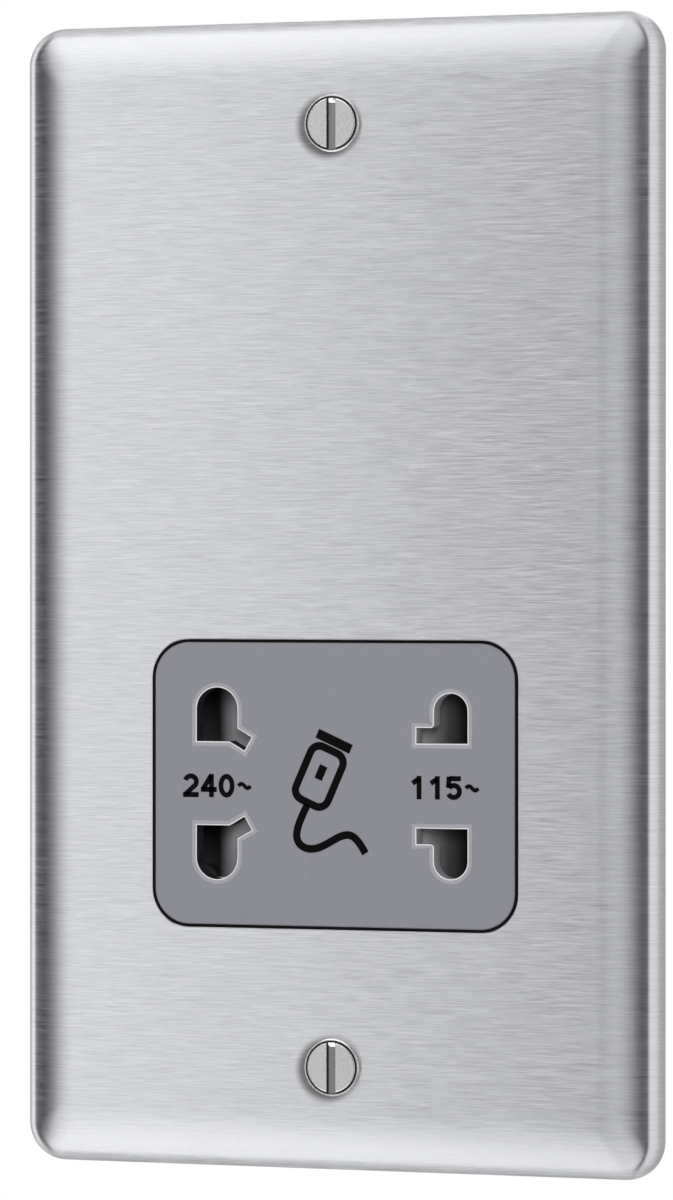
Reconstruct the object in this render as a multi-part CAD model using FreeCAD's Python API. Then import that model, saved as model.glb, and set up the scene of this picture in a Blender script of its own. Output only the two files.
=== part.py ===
import FreeCAD, Part
import math
import os
from FreeCAD import Vector

# Dual-voltage shaver supply unit on a raised steel plate, in millimetres.
# X is to the right, Y into the wall, Z up.
# The origin is on the wall plane, midway between the two fixing screws.

# Pressed steel plate
PLATE_WIDTH = 86.0
PLATE_HEIGHT = 147.5
PLATE_RISE = 4.0          # wall to front face
PLATE_CORNER = 5.0        # corner radius seen from the front
CORNER_EASING = 0.25      # how fast the corner tightens inwards over the crown
CROWN_RADIUS = 17.0       # slow curve at the edge of the face
CROWN_TURN = 22.0         # degrees turned by it, the tight edge turns the rest
CROWN_STEPS = 4           # sections lofted along it
RIM = 0.35                # straight part of the edge, next to the wall
SHEET = 1.0

# Wall fixing screws
FIXING_CENTRES = 120.6
FIXING_SHANK = 3.5        # thread diameter
FIXING_NECK = 3.0         # plain neck under the head, diameter
NECK_PAST_SHEET = 1.0     # neck beyond the back of the sheet
FIXING_LENGTH = 30.0      # under the head
FIXING_HEAD = 7.4         # diameter
FIXING_HEAD_RISE = 0.8
FIXING_HEAD_CHAMFER = 0.3
DRIVER_SLOT = 1.2
DRIVER_SLOT_DEPTH = 0.6
FIXING_CLEARANCE = 0.25   # round the shank, on the radius

# Moulded socket insert and the seal round it
INSERT_WIDTH = 48.6
INSERT_HEIGHT = 36.3
INSERT_CORNER = 4.6
INSERT_DROP = 24.2        # plate centre down to insert centre
SEAL_WIDTH = 0.4          # gap between insert and plate
SEAL_SLACK = 0.03         # each side of the seal
SEAL_RECESS = 0.1         # below the plate's face
FLANGE_LIP = 2.0          # flange beyond the cut-out
FLANGE_THICK = 1.5

# Pin apertures, measured from the insert's centre
APERTURE_X = 15.8
PIN_FLAT = 5.4            # straight end, from the middle line
LEFT_WIDTH = 5.6
LEFT_TOP = 12.35          # round end, from the middle line
RIGHT_WIDTH = 4.5
RIGHT_TOP = 11.8
BLADE_SLOT = 2.0
LEFT_SLOT_REACH = 4.25    # slot tip from the aperture's own centre line
LEFT_SLOT_TIP = 5.1       # slot tip from the middle line
LEFT_SLOT_ANGLE = 30.0
LEFT_SLOT_LENGTH = 3.5
RIGHT_SLOT_REACH = 4.6
APERTURE_CHAMFER = 0.5

# Moulded carrier frame behind the plate
FRAME_THICK = 3.0
FRAME_MARGIN = 0.8        # frame beyond the rear cover
FRAME_EDGE = 0.8          # its front edge rounded clear of the plate's curve
FRAME_LIP = 2.0           # frame behind the insert's edge
FRAME_SLACK = 0.15        # round the insert's flange
STUD_DIA = 3.0
STUD_REACH = 4.0          # past the back of the frame
STUD_INSET = 5.0          # from the cover's inner walls
STUD_SLACK = 0.2
NUT_FLATS = 5.5
NUT_THICK = 2.4

# Sliding shutter and its return springs
SLIDE_TRAVEL = 8.0
SLIDE_GAP = 0.25          # running clearance
RAMP_DEPTH = 6.0
TOE_THICK = 0.6
RIDGE_HALF = 9.6
SLIDE_COVER = 0.8         # slide past the top of an aperture
SLIDE_PAST = 0.5          # slide past the outer side of an aperture
SLIDE_WALL = 1.6
SPINE_HALF = 3.6
TONGUE_REACH = 1.5
TONGUE_THICK = 1.6
RAIL_THICK = 2.0
RAIL_LIP_BITE = 1.2
SPRING_DIA = 3.8
SPRING_WIRE = 0.5
SPRING_TURNS = 5.0
SPRING_SLACK = 0.4        # round the spring in its pocket
POCKET_START = 8.0        # pocket bottom from the centre
SPRING_SOLID = 1.4        # left past the slide's end at full travel
STOP_THICK = 2.0
STOP_HALF = 3.6
STOP_SLACK = 0.5          # stop to the cover's wall

# Contacts, switch and contact base
STRIP = 0.4               # switch strip thickness
BAR = 0.6                 # contact and link strip thickness
CONTACT_GAP = 0.15        # bridge to switch leaf
BRIDGE_HALF = 2.5
LEAF_WIDTH = 3.0
LEAF_REACH = 11.0
LEAF_APART = 0.6          # leaf from the middle line
LEAF_DIP = 0.8            # dead spot of the load leaf, back from its pads
PLATFORM_HALF = 12.0
PLATFORM_HEIGHT = 10.0
JAW_ROW = 8.3             # pin row from the middle line
JAW_WIDTH = 6.0
JAW_SPREAD = 3.0
JAW_NIP = 0.9
JAW_MOUTH = 2.6
JAW_GAP = 0.7             # slide to jaw mouth
JAW_DEPTH = 10.0
BASE_THICK = 2.5
BASE_HEIGHT = 34.0
TAIL_WIDTH = 2.4
TAIL_GAP = 1.2            # upper jaw to the tail that climbs past it
TAIL_DROP = 2.0           # tail's turn below the middle of its room
JAW_LINK_HALF = 2.0       # half height of the strips that join the jaws

# Transformer
OUTER_LEG = 9.0           # width of an outer leg, half the centre leg
STACK = 20.0
COIL_BUILD = 8.0          # coil beyond the stack, front and back
COIL_GAP = 1.0            # coil to frame and to cover
CORE_GAP = 2.0            # core above the cover's step
STRAP = 0.8
STRAP_WIDTH = 14.0
STRAP_FOLD = 6.0          # strap under the core, each end
TOP_GAP = 1.2             # strap to cover
BOBBIN_WALL = 1.0
BOBBIN_SLACK = 0.2
TUBE_CORNER = 0.5
FLANGE_CORNER = 2.0
WINDING_CORNER = 3.0
WINDING_FIT = 0.05        # winding round the tube
WINDING_SLACK = 0.4       # winding inside the flange edge
PIN_DIA = 1.0
PIN_REACH = 4.5
PIN_PITCH = 10.0
PIN_SETBACK = 2.8         # pins in front of the core
PRIMARY_PIN_X = 12.0

# Rear cover
WALL = 2.0
WIRE_LANE = 4.2           # strap to cover wall, room for a lead
LANE_SHIFT = 0.3          # lead nearer the strap than the wall
LANE_SETBACK = 3.2        # lead in front of the contact base
COVER_CORNER = 3.0
COVER_EDGE = 1.5
DEEP_GAP = 1.2            # strap to the side walls of the deep transformer box
STEP_HEIGHT = 0.0         # where the deep transformer box starts
EAR_X = 24.0
EAR_OUT = 3.5             # ear screw beyond the cover's end
EAR_RADIUS = 3.6
EAR_THICK = 2.5
COVER_SCREW = 2.9
COVER_SCREW_HEAD = 5.4
COVER_SCREW_HEAD_RISE = 1.7
PILOT_SLACK = 0.1
SCREW_SHORT = 0.4         # screw tip short of its hole's end
PILOT_END = 1.0           # wall left at the end of a blind pilot hole
VENT_COUNT = 7
VENT_LENGTH = 20.0
VENT_WIDTH = 2.2
VENT_PITCH = 5.5
VENT_X = 14.0
POST_RADIUS = 2.4

# Mains terminals
TERMINAL_PITCH = 14.0
PILLAR_WIDTH = 7.0
PILLAR_DEPTH = 9.0
PILLAR_HEIGHT = 11.5
WIRE_HOLE = 4.2
CLAMP_SCREW = 3.0
CLAMP_HEAD = 4.8
CLAMP_HEAD_RISE = 1.2
CLAMP_SLACK = 0.15
BLOCK_WALL = 2.5
BLOCK_FLOOR = 3.5
BLOCK_RISE = 3.0          # block's lower face above the cover's lower end
PILLAR_SLACK = 0.1
BLOCK_EAR_X = 26.0
BLOCK_EAR_RADIUS = 3.0
LINK_WIDTH = 2.4
LINK_SLACK = 0.3
LINK_GAP = 0.4            # contact base to the outer links
LINK_APART = 0.8          # outer links to the earth strap below them
EARTH_TURN = 4.0          # earth strap's fold from its stud

# Leads and thermal cut-out
LEAD_RADIUS = 0.8
LEAD_BEND = 2.5
CUTOUT_RADIUS = 2.0
CUTOUT_LENGTH = 12.0
CUTOUT_TAIL = 3.0
CUTOUT_TAIL_RADIUS = 0.4

# Depths that follow, from the front backwards
FRONT = -PLATE_RISE
CROWN = math.radians(CROWN_TURN)
EDGE_RADIUS = (PLATE_RISE - RIM - CROWN_RADIUS * (1 - math.cos(CROWN))) / math.cos(CROWN)
ROLL_REACH = CROWN_RADIUS * math.sin(CROWN) + EDGE_RADIUS * (1 - math.sin(CROWN))
SHEET_BACK = FRONT + SHEET
FLANGE_BACK = SHEET_BACK + FLANGE_THICK
FRAME_BACK = SHEET_BACK + FRAME_THICK
SLIDE_FRONT = FRAME_BACK + SLIDE_GAP
SLIDE_TOE = SLIDE_FRONT + RAMP_DEPTH
SLIDE_BACK = SLIDE_TOE + TOE_THICK
BRIDGE_BACK = SLIDE_BACK + STRIP
LEAF_FRONT = BRIDGE_BACK + CONTACT_GAP
LEAF_BACK = LEAF_FRONT + STRIP
JAW_FRONT = SLIDE_BACK + JAW_GAP
BASE_FRONT = JAW_FRONT + JAW_DEPTH
BASE_BACK = BASE_FRONT + BASE_THICK
LOW_BACK = BASE_BACK + WALL
CORE_FRONT = FRAME_BACK + COIL_GAP + COIL_BUILD
CORE_BACK = CORE_FRONT + STACK
HIGH_INNER = CORE_BACK + COIL_BUILD + COIL_GAP
HIGH_BACK = HIGH_INNER + WALL

# Heights and widths that follow
MIDDLE = -INSERT_DROP
CORE_BOTTOM = STEP_HEIGHT + WALL + CORE_GAP
CORE_TOP = CORE_BOTTOM + 5 * OUTER_LEG
CORE_HALF = 3 * OUTER_LEG
DEEP_HALF = CORE_HALF + STRAP + DEEP_GAP
LINK_TOP = MIDDLE - BASE_HEIGHT / 2 - LINK_GAP
STUD_Z = 1.5 * LINK_WIDTH + LINK_APART - LINK_TOP
INNER_TOP = max(CORE_TOP + STRAP + TOP_GAP, STUD_Z + STUD_INSET)
COVER_HALF_HEIGHT = INNER_TOP + WALL
SLIDE_HALF = max(APERTURE_X - RIGHT_SLOT_REACH + SLIDE_TRAVEL,
                 APERTURE_X + LEFT_WIDTH / 2 + SLIDE_PAST)
SLIDE_HEIGHT = LEFT_TOP + SLIDE_COVER
STOP_START = SLIDE_HALF + SLIDE_TRAVEL + SPRING_SOLID
INNER_HALF = max(CORE_HALF + STRAP + WIRE_LANE,
                 STOP_START + STOP_THICK + STOP_SLACK)
COVER_HALF = INNER_HALF + WALL
LANE_X = INNER_HALF - WIRE_LANE / 2 - LANE_SHIFT
LANE_Y = BASE_FRONT - LANE_SETBACK
BASE_HALF = APERTURE_X + JAW_WIDTH / 2 + TAIL_GAP + TAIL_WIDTH
EAR_Z = COVER_HALF_HEIGHT + EAR_OUT
STUD_X = INNER_HALF - STUD_INSET
SPRING_Y = (SLIDE_FRONT + SLIDE_BACK) / 2
WINDOW_BOTTOM = CORE_BOTTOM + OUTER_LEG
WINDOW_TOP = CORE_TOP - OUTER_LEG
PILLAR_BOTTOM = -COVER_HALF_HEIGHT + BLOCK_RISE
PILLAR_TOP = PILLAR_BOTTOM + PILLAR_HEIGHT
PILLAR_FRONT = LOW_BACK + BLOCK_FLOOR
PILLAR_BACK = PILLAR_FRONT + PILLAR_DEPTH
PILLAR_Y = (PILLAR_FRONT + PILLAR_BACK) / 2
SIDES = (-1, 1)


def box(x0, x1, y0, y1, z0, z1):
    """A plain block between two corners."""
    return Part.makeBox(x1 - x0, y1 - y0, z1 - z0, Vector(x0, y0, z0))


def rod(radius, start, end):
    """A round bar between two points."""
    axis = end - start
    return Part.makeCylinder(radius, axis.Length, start, axis)


def rod_y(radius, y0, y1, x, z):
    """A round bar running into the wall."""
    return rod(radius, Vector(x, y0, z), Vector(x, y1, z))


def slab(width, height, radius, front, back, x=0.0, z=0.0, rounded_back=0.0, rounded_front=0.0):
    """A block with rounded corners as seen from the front, and its back or front edge rounded if asked."""
    body = box(x - width / 2, x + width / 2, front, back, z - height / 2, z + height / 2)
    uprights = [e for e in body.Edges if abs(e.Vertexes[0].Y - e.Vertexes[1].Y) > 1e-6]
    body = body.makeFillet(radius, uprights)
    for depth, edge_radius in ((front, rounded_front), (back, rounded_back)):
        if edge_radius > 0:
            rim = [e for e in body.Edges if all(abs(v.Y - depth) < 1e-6 for v in e.Vertexes)]
            body = body.makeFillet(edge_radius, rim)
    return body


def prism(corners, sweep):
    """A straight prism from its corner points."""
    return Part.Face(Part.makePolygon(corners + corners[:1])).extrude(sweep)


def strip_outline(line, thickness):
    """The outline of a folded metal strip that follows a line in a plane, mitred at its folds."""
    left = []
    right = []
    for i, (a, b) in enumerate(line):
        normals = []
        for p, q in ((i - 1, i), (i, i + 1)):
            if p >= 0 and q < len(line):
                da = line[q][0] - line[p][0]
                db = line[q][1] - line[p][1]
                length = math.hypot(da, db)
                normals.append((-db / length, da / length))
        na = sum(n[0] for n in normals)
        nb = sum(n[1] for n in normals)
        size = math.hypot(na, nb)
        na, nb = na / size, nb / size
        reach = thickness / 2 / (na * normals[0][0] + nb * normals[0][1])
        left.append((a + na * reach, b + nb * reach))
        right.append((a - na * reach, b - nb * reach))
    return left + right[::-1]


def strip_in_plan(line, thickness, z0, z1):
    """A folded strip whose folds are seen from above."""
    corners = [Vector(x, y, z0) for x, y in strip_outline(line, thickness)]
    return prism(corners, Vector(0, 0, z1 - z0))


def strip_in_side_view(line, thickness, x0, x1):
    """A folded strip whose folds are seen from the side, its line given in depth and height."""
    corners = [Vector(x0, y, z) for y, z in strip_outline(line, thickness)]
    return prism(corners, Vector(x1 - x0, 0, 0))


def lead(points, radius, bend):
    """An insulated lead through square corners: straight lengths joined by quarter bends."""
    lengths = []
    start = points[0]
    for before, corner, after in zip(points, points[1:], points[2:]):
        back = (before - corner).normalize() * bend
        on = (after - corner).normalize() * bend
        lengths.append(rod(radius, start, corner + back))
        section = Part.Face(Part.Wire(Part.makeCircle(radius, corner + back, back)))
        lengths.append(section.revolve(corner + back + on, back.cross(on), -90))
        start = corner + on
    lengths.append(rod(radius, start, points[-1]))
    return joined(lengths)


def screw(head, rise, shank, length, bevel=0.0, neck=0.0, neck_length=0.0):
    """A screw on its seat at y = 0, shank along +Y, its head bevelled and its neck thinned if asked."""
    profile = [Vector(0, -rise, 0), Vector(head / 2 - bevel, -rise, 0)]
    if bevel > 0:
        profile.append(Vector(head / 2, bevel - rise, 0))
    profile.append(Vector(head / 2, 0, 0))
    if neck > 0:
        profile += [Vector(neck / 2, 0, 0), Vector(neck / 2, neck_length, 0)]
        profile.append(Vector(shank / 2, neck_length, 0))
    else:
        profile.append(Vector(shank / 2, 0, 0))
    profile += [Vector(shank / 2, length, 0), Vector(0, length, 0)]
    face = Part.Face(Part.makePolygon(profile + profile[:1]))
    return face.revolve(Vector(0, 0, 0), Vector(0, 1, 0), 360)


def moved(shape, x, y, z):
    """A copy of a shape at another place."""
    copy = shape.copy()
    copy.translate(Vector(x, y, z))
    return copy


def turned_back(shape):
    """A copy of a screw turned to be driven from behind."""
    copy = shape.copy()
    copy.rotate(Vector(0, 0, 0), Vector(0, 0, 1), 180)
    return copy


def joined(shapes):
    """One solid from shapes that meet."""
    whole = shapes[0]
    for shape in shapes[1:]:
        whole = whole.fuse(shape)
    return whole.removeSplitter()


def without(body, tools):
    """A body with each tool cut out of it."""
    for tool in tools:
        body = body.cut(tool)
    return body


# Plate: one pressed sheet with rolled edges, a cut-out, two fixing holes and four welded studs
def rounded_outline(width, height, radius, y):
    """A wire at one depth: a rectangle with round corners."""
    x = width / 2 - radius
    z = height / 2 - radius
    ends = []
    edges = []
    for quarter, (a, b) in enumerate(((1, 1), (-1, 1), (-1, -1), (1, -1))):
        turns = [math.radians(90 * quarter + part) for part in (0, 45, 90)]
        points = [Vector(a * x + radius * math.cos(t), y, b * z + radius * math.sin(t)) for t in turns]
        if ends:
            edges.append(Part.makeLine(ends[-1], points[0]))
        edges.append(Part.Arc(*points).toShape())
        ends += [points[0], points[2]]
    edges.append(Part.makeLine(ends[-1], ends[0]))
    return Part.Wire(edges)


def roll_place(turn, into):
    """Inset from the rim and depth where the edge has turned by an angle, some way into the sheet."""
    crown = min(turn, CROWN)
    across = CROWN_RADIUS * math.sin(crown) + EDGE_RADIUS * (math.sin(turn) - math.sin(crown))
    down = CROWN_RADIUS * (1 - math.cos(crown)) + EDGE_RADIUS * (math.cos(crown) - math.cos(turn))
    return ROLL_REACH - across + into * math.sin(turn), down + into * math.cos(turn)


def crowned_middle(into, back):
    """The plate inside its tight edge: a flat face that falls away in a crown, lofted from outlines."""
    edge_inset = roll_place(CROWN, into)[0]
    outlines = []
    for i in range(CROWN_STEPS + 1):
        inset, down = roll_place(CROWN * i / CROWN_STEPS, into)
        radius = PLATE_CORNER - edge_inset - CORNER_EASING * (inset - edge_inset)
        width = PLATE_WIDTH - 2 * inset
        height = PLATE_HEIGHT - 2 * inset
        outlines.append(rounded_outline(width, height, radius, FRONT + down))
    under = Part.Face(outlines[-1]).extrude(Vector(0, back - FRONT - down, 0))
    return [Part.makeLoft(outlines, True, False), under]


def tight_edge(into, back):
    """The rest of the plate: one curved section run along the sides and turned round the corners."""
    x = PLATE_WIDTH / 2 - PLATE_CORNER
    z = PLATE_HEIGHT / 2 - PLATE_CORNER
    places = [roll_place(turn, into) for turn in (CROWN, (CROWN + math.pi / 2) / 2, math.pi / 2)]
    curve = [Vector(PLATE_WIDTH / 2 - inset, FRONT + down, z) for inset, down in places]
    back_corners = [curve[2], Vector(curve[2].x, back, z), Vector(curve[0].x, back, z), curve[0]]
    section = Part.Face(Part.Wire([Part.Arc(*curve).toShape()] + Part.makePolygon(back_corners).Edges))
    side = section.extrude(Vector(0, 0, -2 * z))
    corner = section.revolve(Vector(x, 0, z), Vector(0, 1, 0), -90)
    section.rotate(Vector(x, 0, z), Vector(0, 1, 0), -90)
    top = section.extrude(Vector(-2 * x, 0, 0))
    centre = Vector(0, 0, 0)
    left_right = Vector(1, 0, 0)
    up_down = Vector(0, 0, 1)
    other_corner = corner.mirror(centre, left_right)
    half = [top, corner, other_corner]
    return [side, side.mirror(centre, left_right)] + half + [part.mirror(centre, up_down) for part in half]


def rolled_body(into, back):
    """The plate's whole form, or the hollow behind its sheet."""
    return joined(crowned_middle(into, back) + tight_edge(into, back))


def insert_slab(grow, front, back):
    """A slab with the insert's outline, let out on every side."""
    return slab(INSERT_WIDTH + 2 * grow, INSERT_HEIGHT + 2 * grow, INSERT_CORNER + grow, front, back,
                z=MIDDLE)


def make_front_plate():
    outer = rolled_body(0.0, 0.0)
    inner = rolled_body(SHEET, SHEET)
    cut_out = insert_slab(SEAL_WIDTH, FRONT - 1, SHEET_BACK + 1)
    hole = FIXING_SHANK / 2 + FIXING_CLEARANCE
    holes = [rod_y(hole, FRONT - 1, SHEET_BACK + 1, 0, side * FIXING_CENTRES / 2) for side in SIDES]
    plate = without(outer, [inner, cut_out] + holes)
    studs = [rod_y(STUD_DIA / 2, SHEET_BACK - SHEET / 2, FRAME_BACK + STUD_REACH, a * STUD_X, b * STUD_Z)
             for a in SIDES for b in SIDES]
    return joined([plate] + studs)


def make_fixing_screws():
    fixing = screw(FIXING_HEAD, FIXING_HEAD_RISE, FIXING_SHANK, FIXING_LENGTH, FIXING_HEAD_CHAMFER,
                   FIXING_NECK, SHEET + NECK_PAST_SHEET)
    floor = DRIVER_SLOT_DEPTH - FIXING_HEAD_RISE
    slot = box(-DRIVER_SLOT / 2, DRIVER_SLOT / 2, -FIXING_HEAD_RISE - 1, floor, -FIXING_HEAD, FIXING_HEAD)
    slotted = fixing.cut(slot)
    return Part.makeCompound([moved(slotted, 0, FRONT, side * FIXING_CENTRES / 2) for side in SIDES])


# Insert: moulded face with four pin apertures, each a round-ended hole with a blade slot
def aperture(side, up):
    """The hole for one pin: left ones take a slanted blade, right ones a level blade."""
    width, top = (LEFT_WIDTH, LEFT_TOP) if side < 0 else (RIGHT_WIDTH, RIGHT_TOP)
    front, back = FRONT - 1, FLANGE_BACK + 1
    straight = box(-width / 2, width / 2, front, back, PIN_FLAT, top - width / 2)
    round_end = rod_y(width / 2, front, back, 0, top - width / 2)
    if side < 0:
        slot = box(-LEFT_SLOT_LENGTH, 0, front, back, -BLADE_SLOT / 2, BLADE_SLOT / 2)
        slot.rotate(Vector(0, 0, 0), Vector(0, 1, 0), LEFT_SLOT_ANGLE)
        slot.translate(Vector(LEFT_SLOT_REACH, 0, LEFT_SLOT_TIP))
    else:
        slot = box(-RIGHT_SLOT_REACH, 0, front, back, PIN_FLAT, PIN_FLAT + BLADE_SLOT)
    hole = joined([straight, round_end, slot])
    if up < 0:
        hole = hole.mirror(Vector(0, 0, 0), Vector(0, 0, 1))
    return moved(hole, side * APERTURE_X, 0, MIDDLE)


def make_socket_insert():
    face = insert_slab(0.0, FRONT, FLANGE_BACK)
    flange = insert_slab(SEAL_WIDTH + FLANGE_LIP, SHEET_BACK, FLANGE_BACK)
    body = joined([face, flange])
    body = without(body, [aperture(side, up) for side in SIDES for up in SIDES])
    reach = APERTURE_X + LEFT_WIDTH
    rims = [e for e in body.Edges if all(abs(v.Y - FRONT) < 1e-6 for v in e.Vertexes)
            and max(abs(v.X) for v in e.Vertexes) < reach
            and max(abs(v.Z - MIDDLE) for v in e.Vertexes) < max(LEFT_TOP, RIGHT_TOP) + APERTURE_CHAMFER]
    return body.makeChamfer(APERTURE_CHAMFER, rims)


def make_insert_seal():
    front = FRONT + SEAL_RECESS
    outer = insert_slab(SEAL_WIDTH - SEAL_SLACK, front, SHEET_BACK)
    return outer.cut(insert_slab(SEAL_SLACK, front - 1, SHEET_BACK + 1))


# Carrier frame: clamps the insert to the plate, guides the shutter and takes the transformer's weight
def ears(front, back):
    """Four round-ended ears past the top and bottom of the cover."""
    return [slab(2 * EAR_RADIUS, EAR_OUT + EAR_RADIUS + WALL / 2, EAR_RADIUS * 0.9, front, back, a * EAR_X,
                 b * (EAR_Z + EAR_RADIUS - (EAR_OUT + EAR_RADIUS + WALL / 2) / 2))
            for a in SIDES for b in SIDES]


def make_carrier_frame():
    body = slab(2 * (COVER_HALF + FRAME_MARGIN), 2 * (COVER_HALF_HEIGHT + FRAME_MARGIN),
                COVER_CORNER + FRAME_MARGIN, SHEET_BACK, FRAME_BACK, rounded_front=FRAME_EDGE)
    body = joined([body] + ears(SHEET_BACK, FRAME_BACK))
    rebate = insert_slab(SEAL_WIDTH + FLANGE_LIP + FRAME_SLACK, SHEET_BACK - 1, FLANGE_BACK)
    window = insert_slab(-FRAME_LIP, SHEET_BACK - 1, FRAME_BACK + 1)
    stud_holes = [rod_y(STUD_DIA / 2 + STUD_SLACK, SHEET_BACK - 1, FRAME_BACK + 1, a * STUD_X, b * STUD_Z)
                  for a in SIDES for b in SIDES]
    pilots = [rod_y(COVER_SCREW / 2 + PILOT_SLACK, SHEET_BACK - 1, FRAME_BACK + 1, a * EAR_X, b * EAR_Z)
              for a in SIDES for b in SIDES]
    body = without(body, [rebate, window] + stud_holes + pilots)

    # Rails with a lip over the shutter's tongues, and stops for its springs
    fittings = []
    rail_start = SLIDE_HEIGHT + TONGUE_REACH + SLIDE_GAP
    lip_front = SLIDE_FRONT + TONGUE_THICK + SLIDE_GAP
    lip_back = lip_front + SLIDE_WALL
    run = SLIDE_HALF + SLIDE_TRAVEL
    for side in SIDES:
        outer = MIDDLE + side * (rail_start + RAIL_THICK)
        web = sorted((MIDDLE + side * rail_start, outer))
        hook = sorted((MIDDLE + side * (rail_start - RAIL_LIP_BITE), outer))
        fittings.append(box(-run, run, FRAME_BACK, lip_back, web[0], web[1]))
        fittings.append(box(-run, run, lip_front, lip_back, hook[0], hook[1]))
        x0, x1 = sorted((side * STOP_START, side * (STOP_START + STOP_THICK)))
        fittings.append(box(x0, x1, FRAME_BACK, SLIDE_BACK, MIDDLE - STOP_HALF, MIDDLE + STOP_HALF))

    # Posts that carry the front of the transformer core
    for x, z in core_post_places():
        fittings.append(rod_y(POST_RADIUS, FRAME_BACK, CORE_FRONT, x, z))
    return joined([body] + fittings)


def core_post_places():
    """Four places on the outer legs of the core."""
    quarter = (WINDOW_TOP - WINDOW_BOTTOM) / 4
    heights = (WINDOW_BOTTOM + quarter, WINDOW_TOP - quarter)
    return [(side * 2.5 * OUTER_LEG, z) for side in SIDES for z in heights]


def make_stud_nuts():
    corner = NUT_FLATS / math.sqrt(3)
    points = [Vector(corner * math.sin(math.radians(60 * i)), 0, corner * math.cos(math.radians(60 * i)))
              for i in range(6)]
    nut = prism(points, Vector(0, NUT_THICK, 0))
    nut = nut.cut(rod_y(STUD_DIA / 2 + PILOT_SLACK, -1, NUT_THICK + 1, 0, 0))
    nuts = []
    for a in SIDES:
        for b in SIDES:
            washer = BAR if (a > 0 and b < 0) else 0.0
            nuts.append(moved(nut, a * STUD_X, FRAME_BACK + washer, b * STUD_Z))
    return Part.makeCompound(nuts)


# Shutter: one sliding moulding with a ramp behind each pair of apertures
def make_shutter_slide():
    bottom = MIDDLE - SLIDE_HEIGHT
    outline = [(-SLIDE_HALF, SLIDE_BACK), (-SLIDE_HALF, SLIDE_TOE), (-RIDGE_HALF, SLIDE_FRONT),
               (RIDGE_HALF, SLIDE_FRONT), (SLIDE_HALF, SLIDE_TOE), (SLIDE_HALF, SLIDE_BACK)]
    wedge = prism([Vector(x, y, bottom) for x, y in outline], Vector(0, 0, 2 * SLIDE_HEIGHT))

    # Hollows behind the ramps leave an even wall
    run = SLIDE_HALF - RIDGE_HALF
    slope = RAMP_DEPTH / run
    across = SLIDE_WALL * math.hypot(run, RAMP_DEPTH) / RAMP_DEPTH
    hollow_top = RIDGE_HALF - across + SLIDE_WALL / slope
    hollow_end = hollow_top + (SLIDE_BACK + 1 - SLIDE_FRONT - SLIDE_WALL) / slope
    hollow = [(-hollow_end, SLIDE_BACK + 1), (-hollow_top, SLIDE_FRONT + SLIDE_WALL),
              (hollow_top, SLIDE_FRONT + SLIDE_WALL), (hollow_end, SLIDE_BACK + 1)]
    depth = SLIDE_HEIGHT - SLIDE_WALL - SPINE_HALF
    upper = prism([Vector(x, y, MIDDLE + SPINE_HALF) for x, y in hollow], Vector(0, 0, depth))
    lower = prism([Vector(x, y, MIDDLE - SPINE_HALF) for x, y in hollow], Vector(0, 0, -depth))
    wedge = without(wedge, [upper, lower])

    # Full-depth spine with a spring pocket in each end, and a tongue along the top and the bottom
    spine = box(-SLIDE_HALF, SLIDE_HALF, SLIDE_FRONT, SLIDE_BACK, MIDDLE - SPINE_HALF, MIDDLE + SPINE_HALF)
    parts = [wedge, spine]
    for side in SIDES:
        z0, z1 = sorted((MIDDLE + side * (SLIDE_HEIGHT - SLIDE_WALL / 2),
                         MIDDLE + side * (SLIDE_HEIGHT + TONGUE_REACH)))
        parts.append(box(-SLIDE_HALF, SLIDE_HALF, SLIDE_FRONT, SLIDE_FRONT + TONGUE_THICK, z0, z1))
    slide = joined(parts)
    pockets = [rod(SPRING_DIA / 2 + SPRING_SLACK, Vector(side * POCKET_START, SPRING_Y, MIDDLE),
                   Vector(side * (SLIDE_HALF + 1), SPRING_Y, MIDDLE)) for side in SIDES]
    return without(slide, pockets)


def make_return_spring(side):
    """A helical spring between the pocket's bottom and the stop, of square wire."""
    half = SPRING_WIRE / 2
    length = STOP_START - POCKET_START - 2 * SPRING_WIRE
    mean = (SPRING_DIA - SPRING_WIRE) / 2
    helix = Part.makeHelix(length / SPRING_TURNS, length, mean)
    square = [Vector(mean - half, 0, -half), Vector(mean + half, 0, -half),
              Vector(mean + half, 0, half), Vector(mean - half, 0, half)]
    wire = Part.makePolygon(square + square[:1])
    coil = Part.Wire(helix.Edges).makePipeShell([wire], True, True)
    coil.rotate(Vector(0, 0, 0), Vector(0, 1, 0), side * 90)
    return moved(coil, side * (POCKET_START + SPRING_WIRE), SPRING_Y, MIDDLE)


def make_bridge_contact():
    """The shutter's switch strip: it joins the two leaves when the shutter is pushed either way."""
    return box(-BRIDGE_HALF, BRIDGE_HALF, SLIDE_BACK, BRIDGE_BACK, MIDDLE - SPINE_HALF, MIDDLE + SPINE_HALF)


# Contact base: carries the pin contacts and the switch leaves behind the shutter
def make_contact_base():
    plate = box(-BASE_HALF, BASE_HALF, BASE_FRONT, BASE_BACK, MIDDLE - BASE_HEIGHT / 2,
                MIDDLE + BASE_HEIGHT / 2)
    platform = box(-PLATFORM_HALF, PLATFORM_HALF, LEAF_BACK, BASE_FRONT, MIDDLE - PLATFORM_HEIGHT / 2,
                   MIDDLE + PLATFORM_HEIGHT / 2)
    dip = box(-LEAF_REACH / 2, LEAF_REACH / 2, LEAF_FRONT, LEAF_BACK + 2 * LEAF_DIP, MIDDLE + 0.2,
              MIDDLE + PLATFORM_HEIGHT / 2 + 1)
    return joined([plate, platform]).cut(dip)


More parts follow.
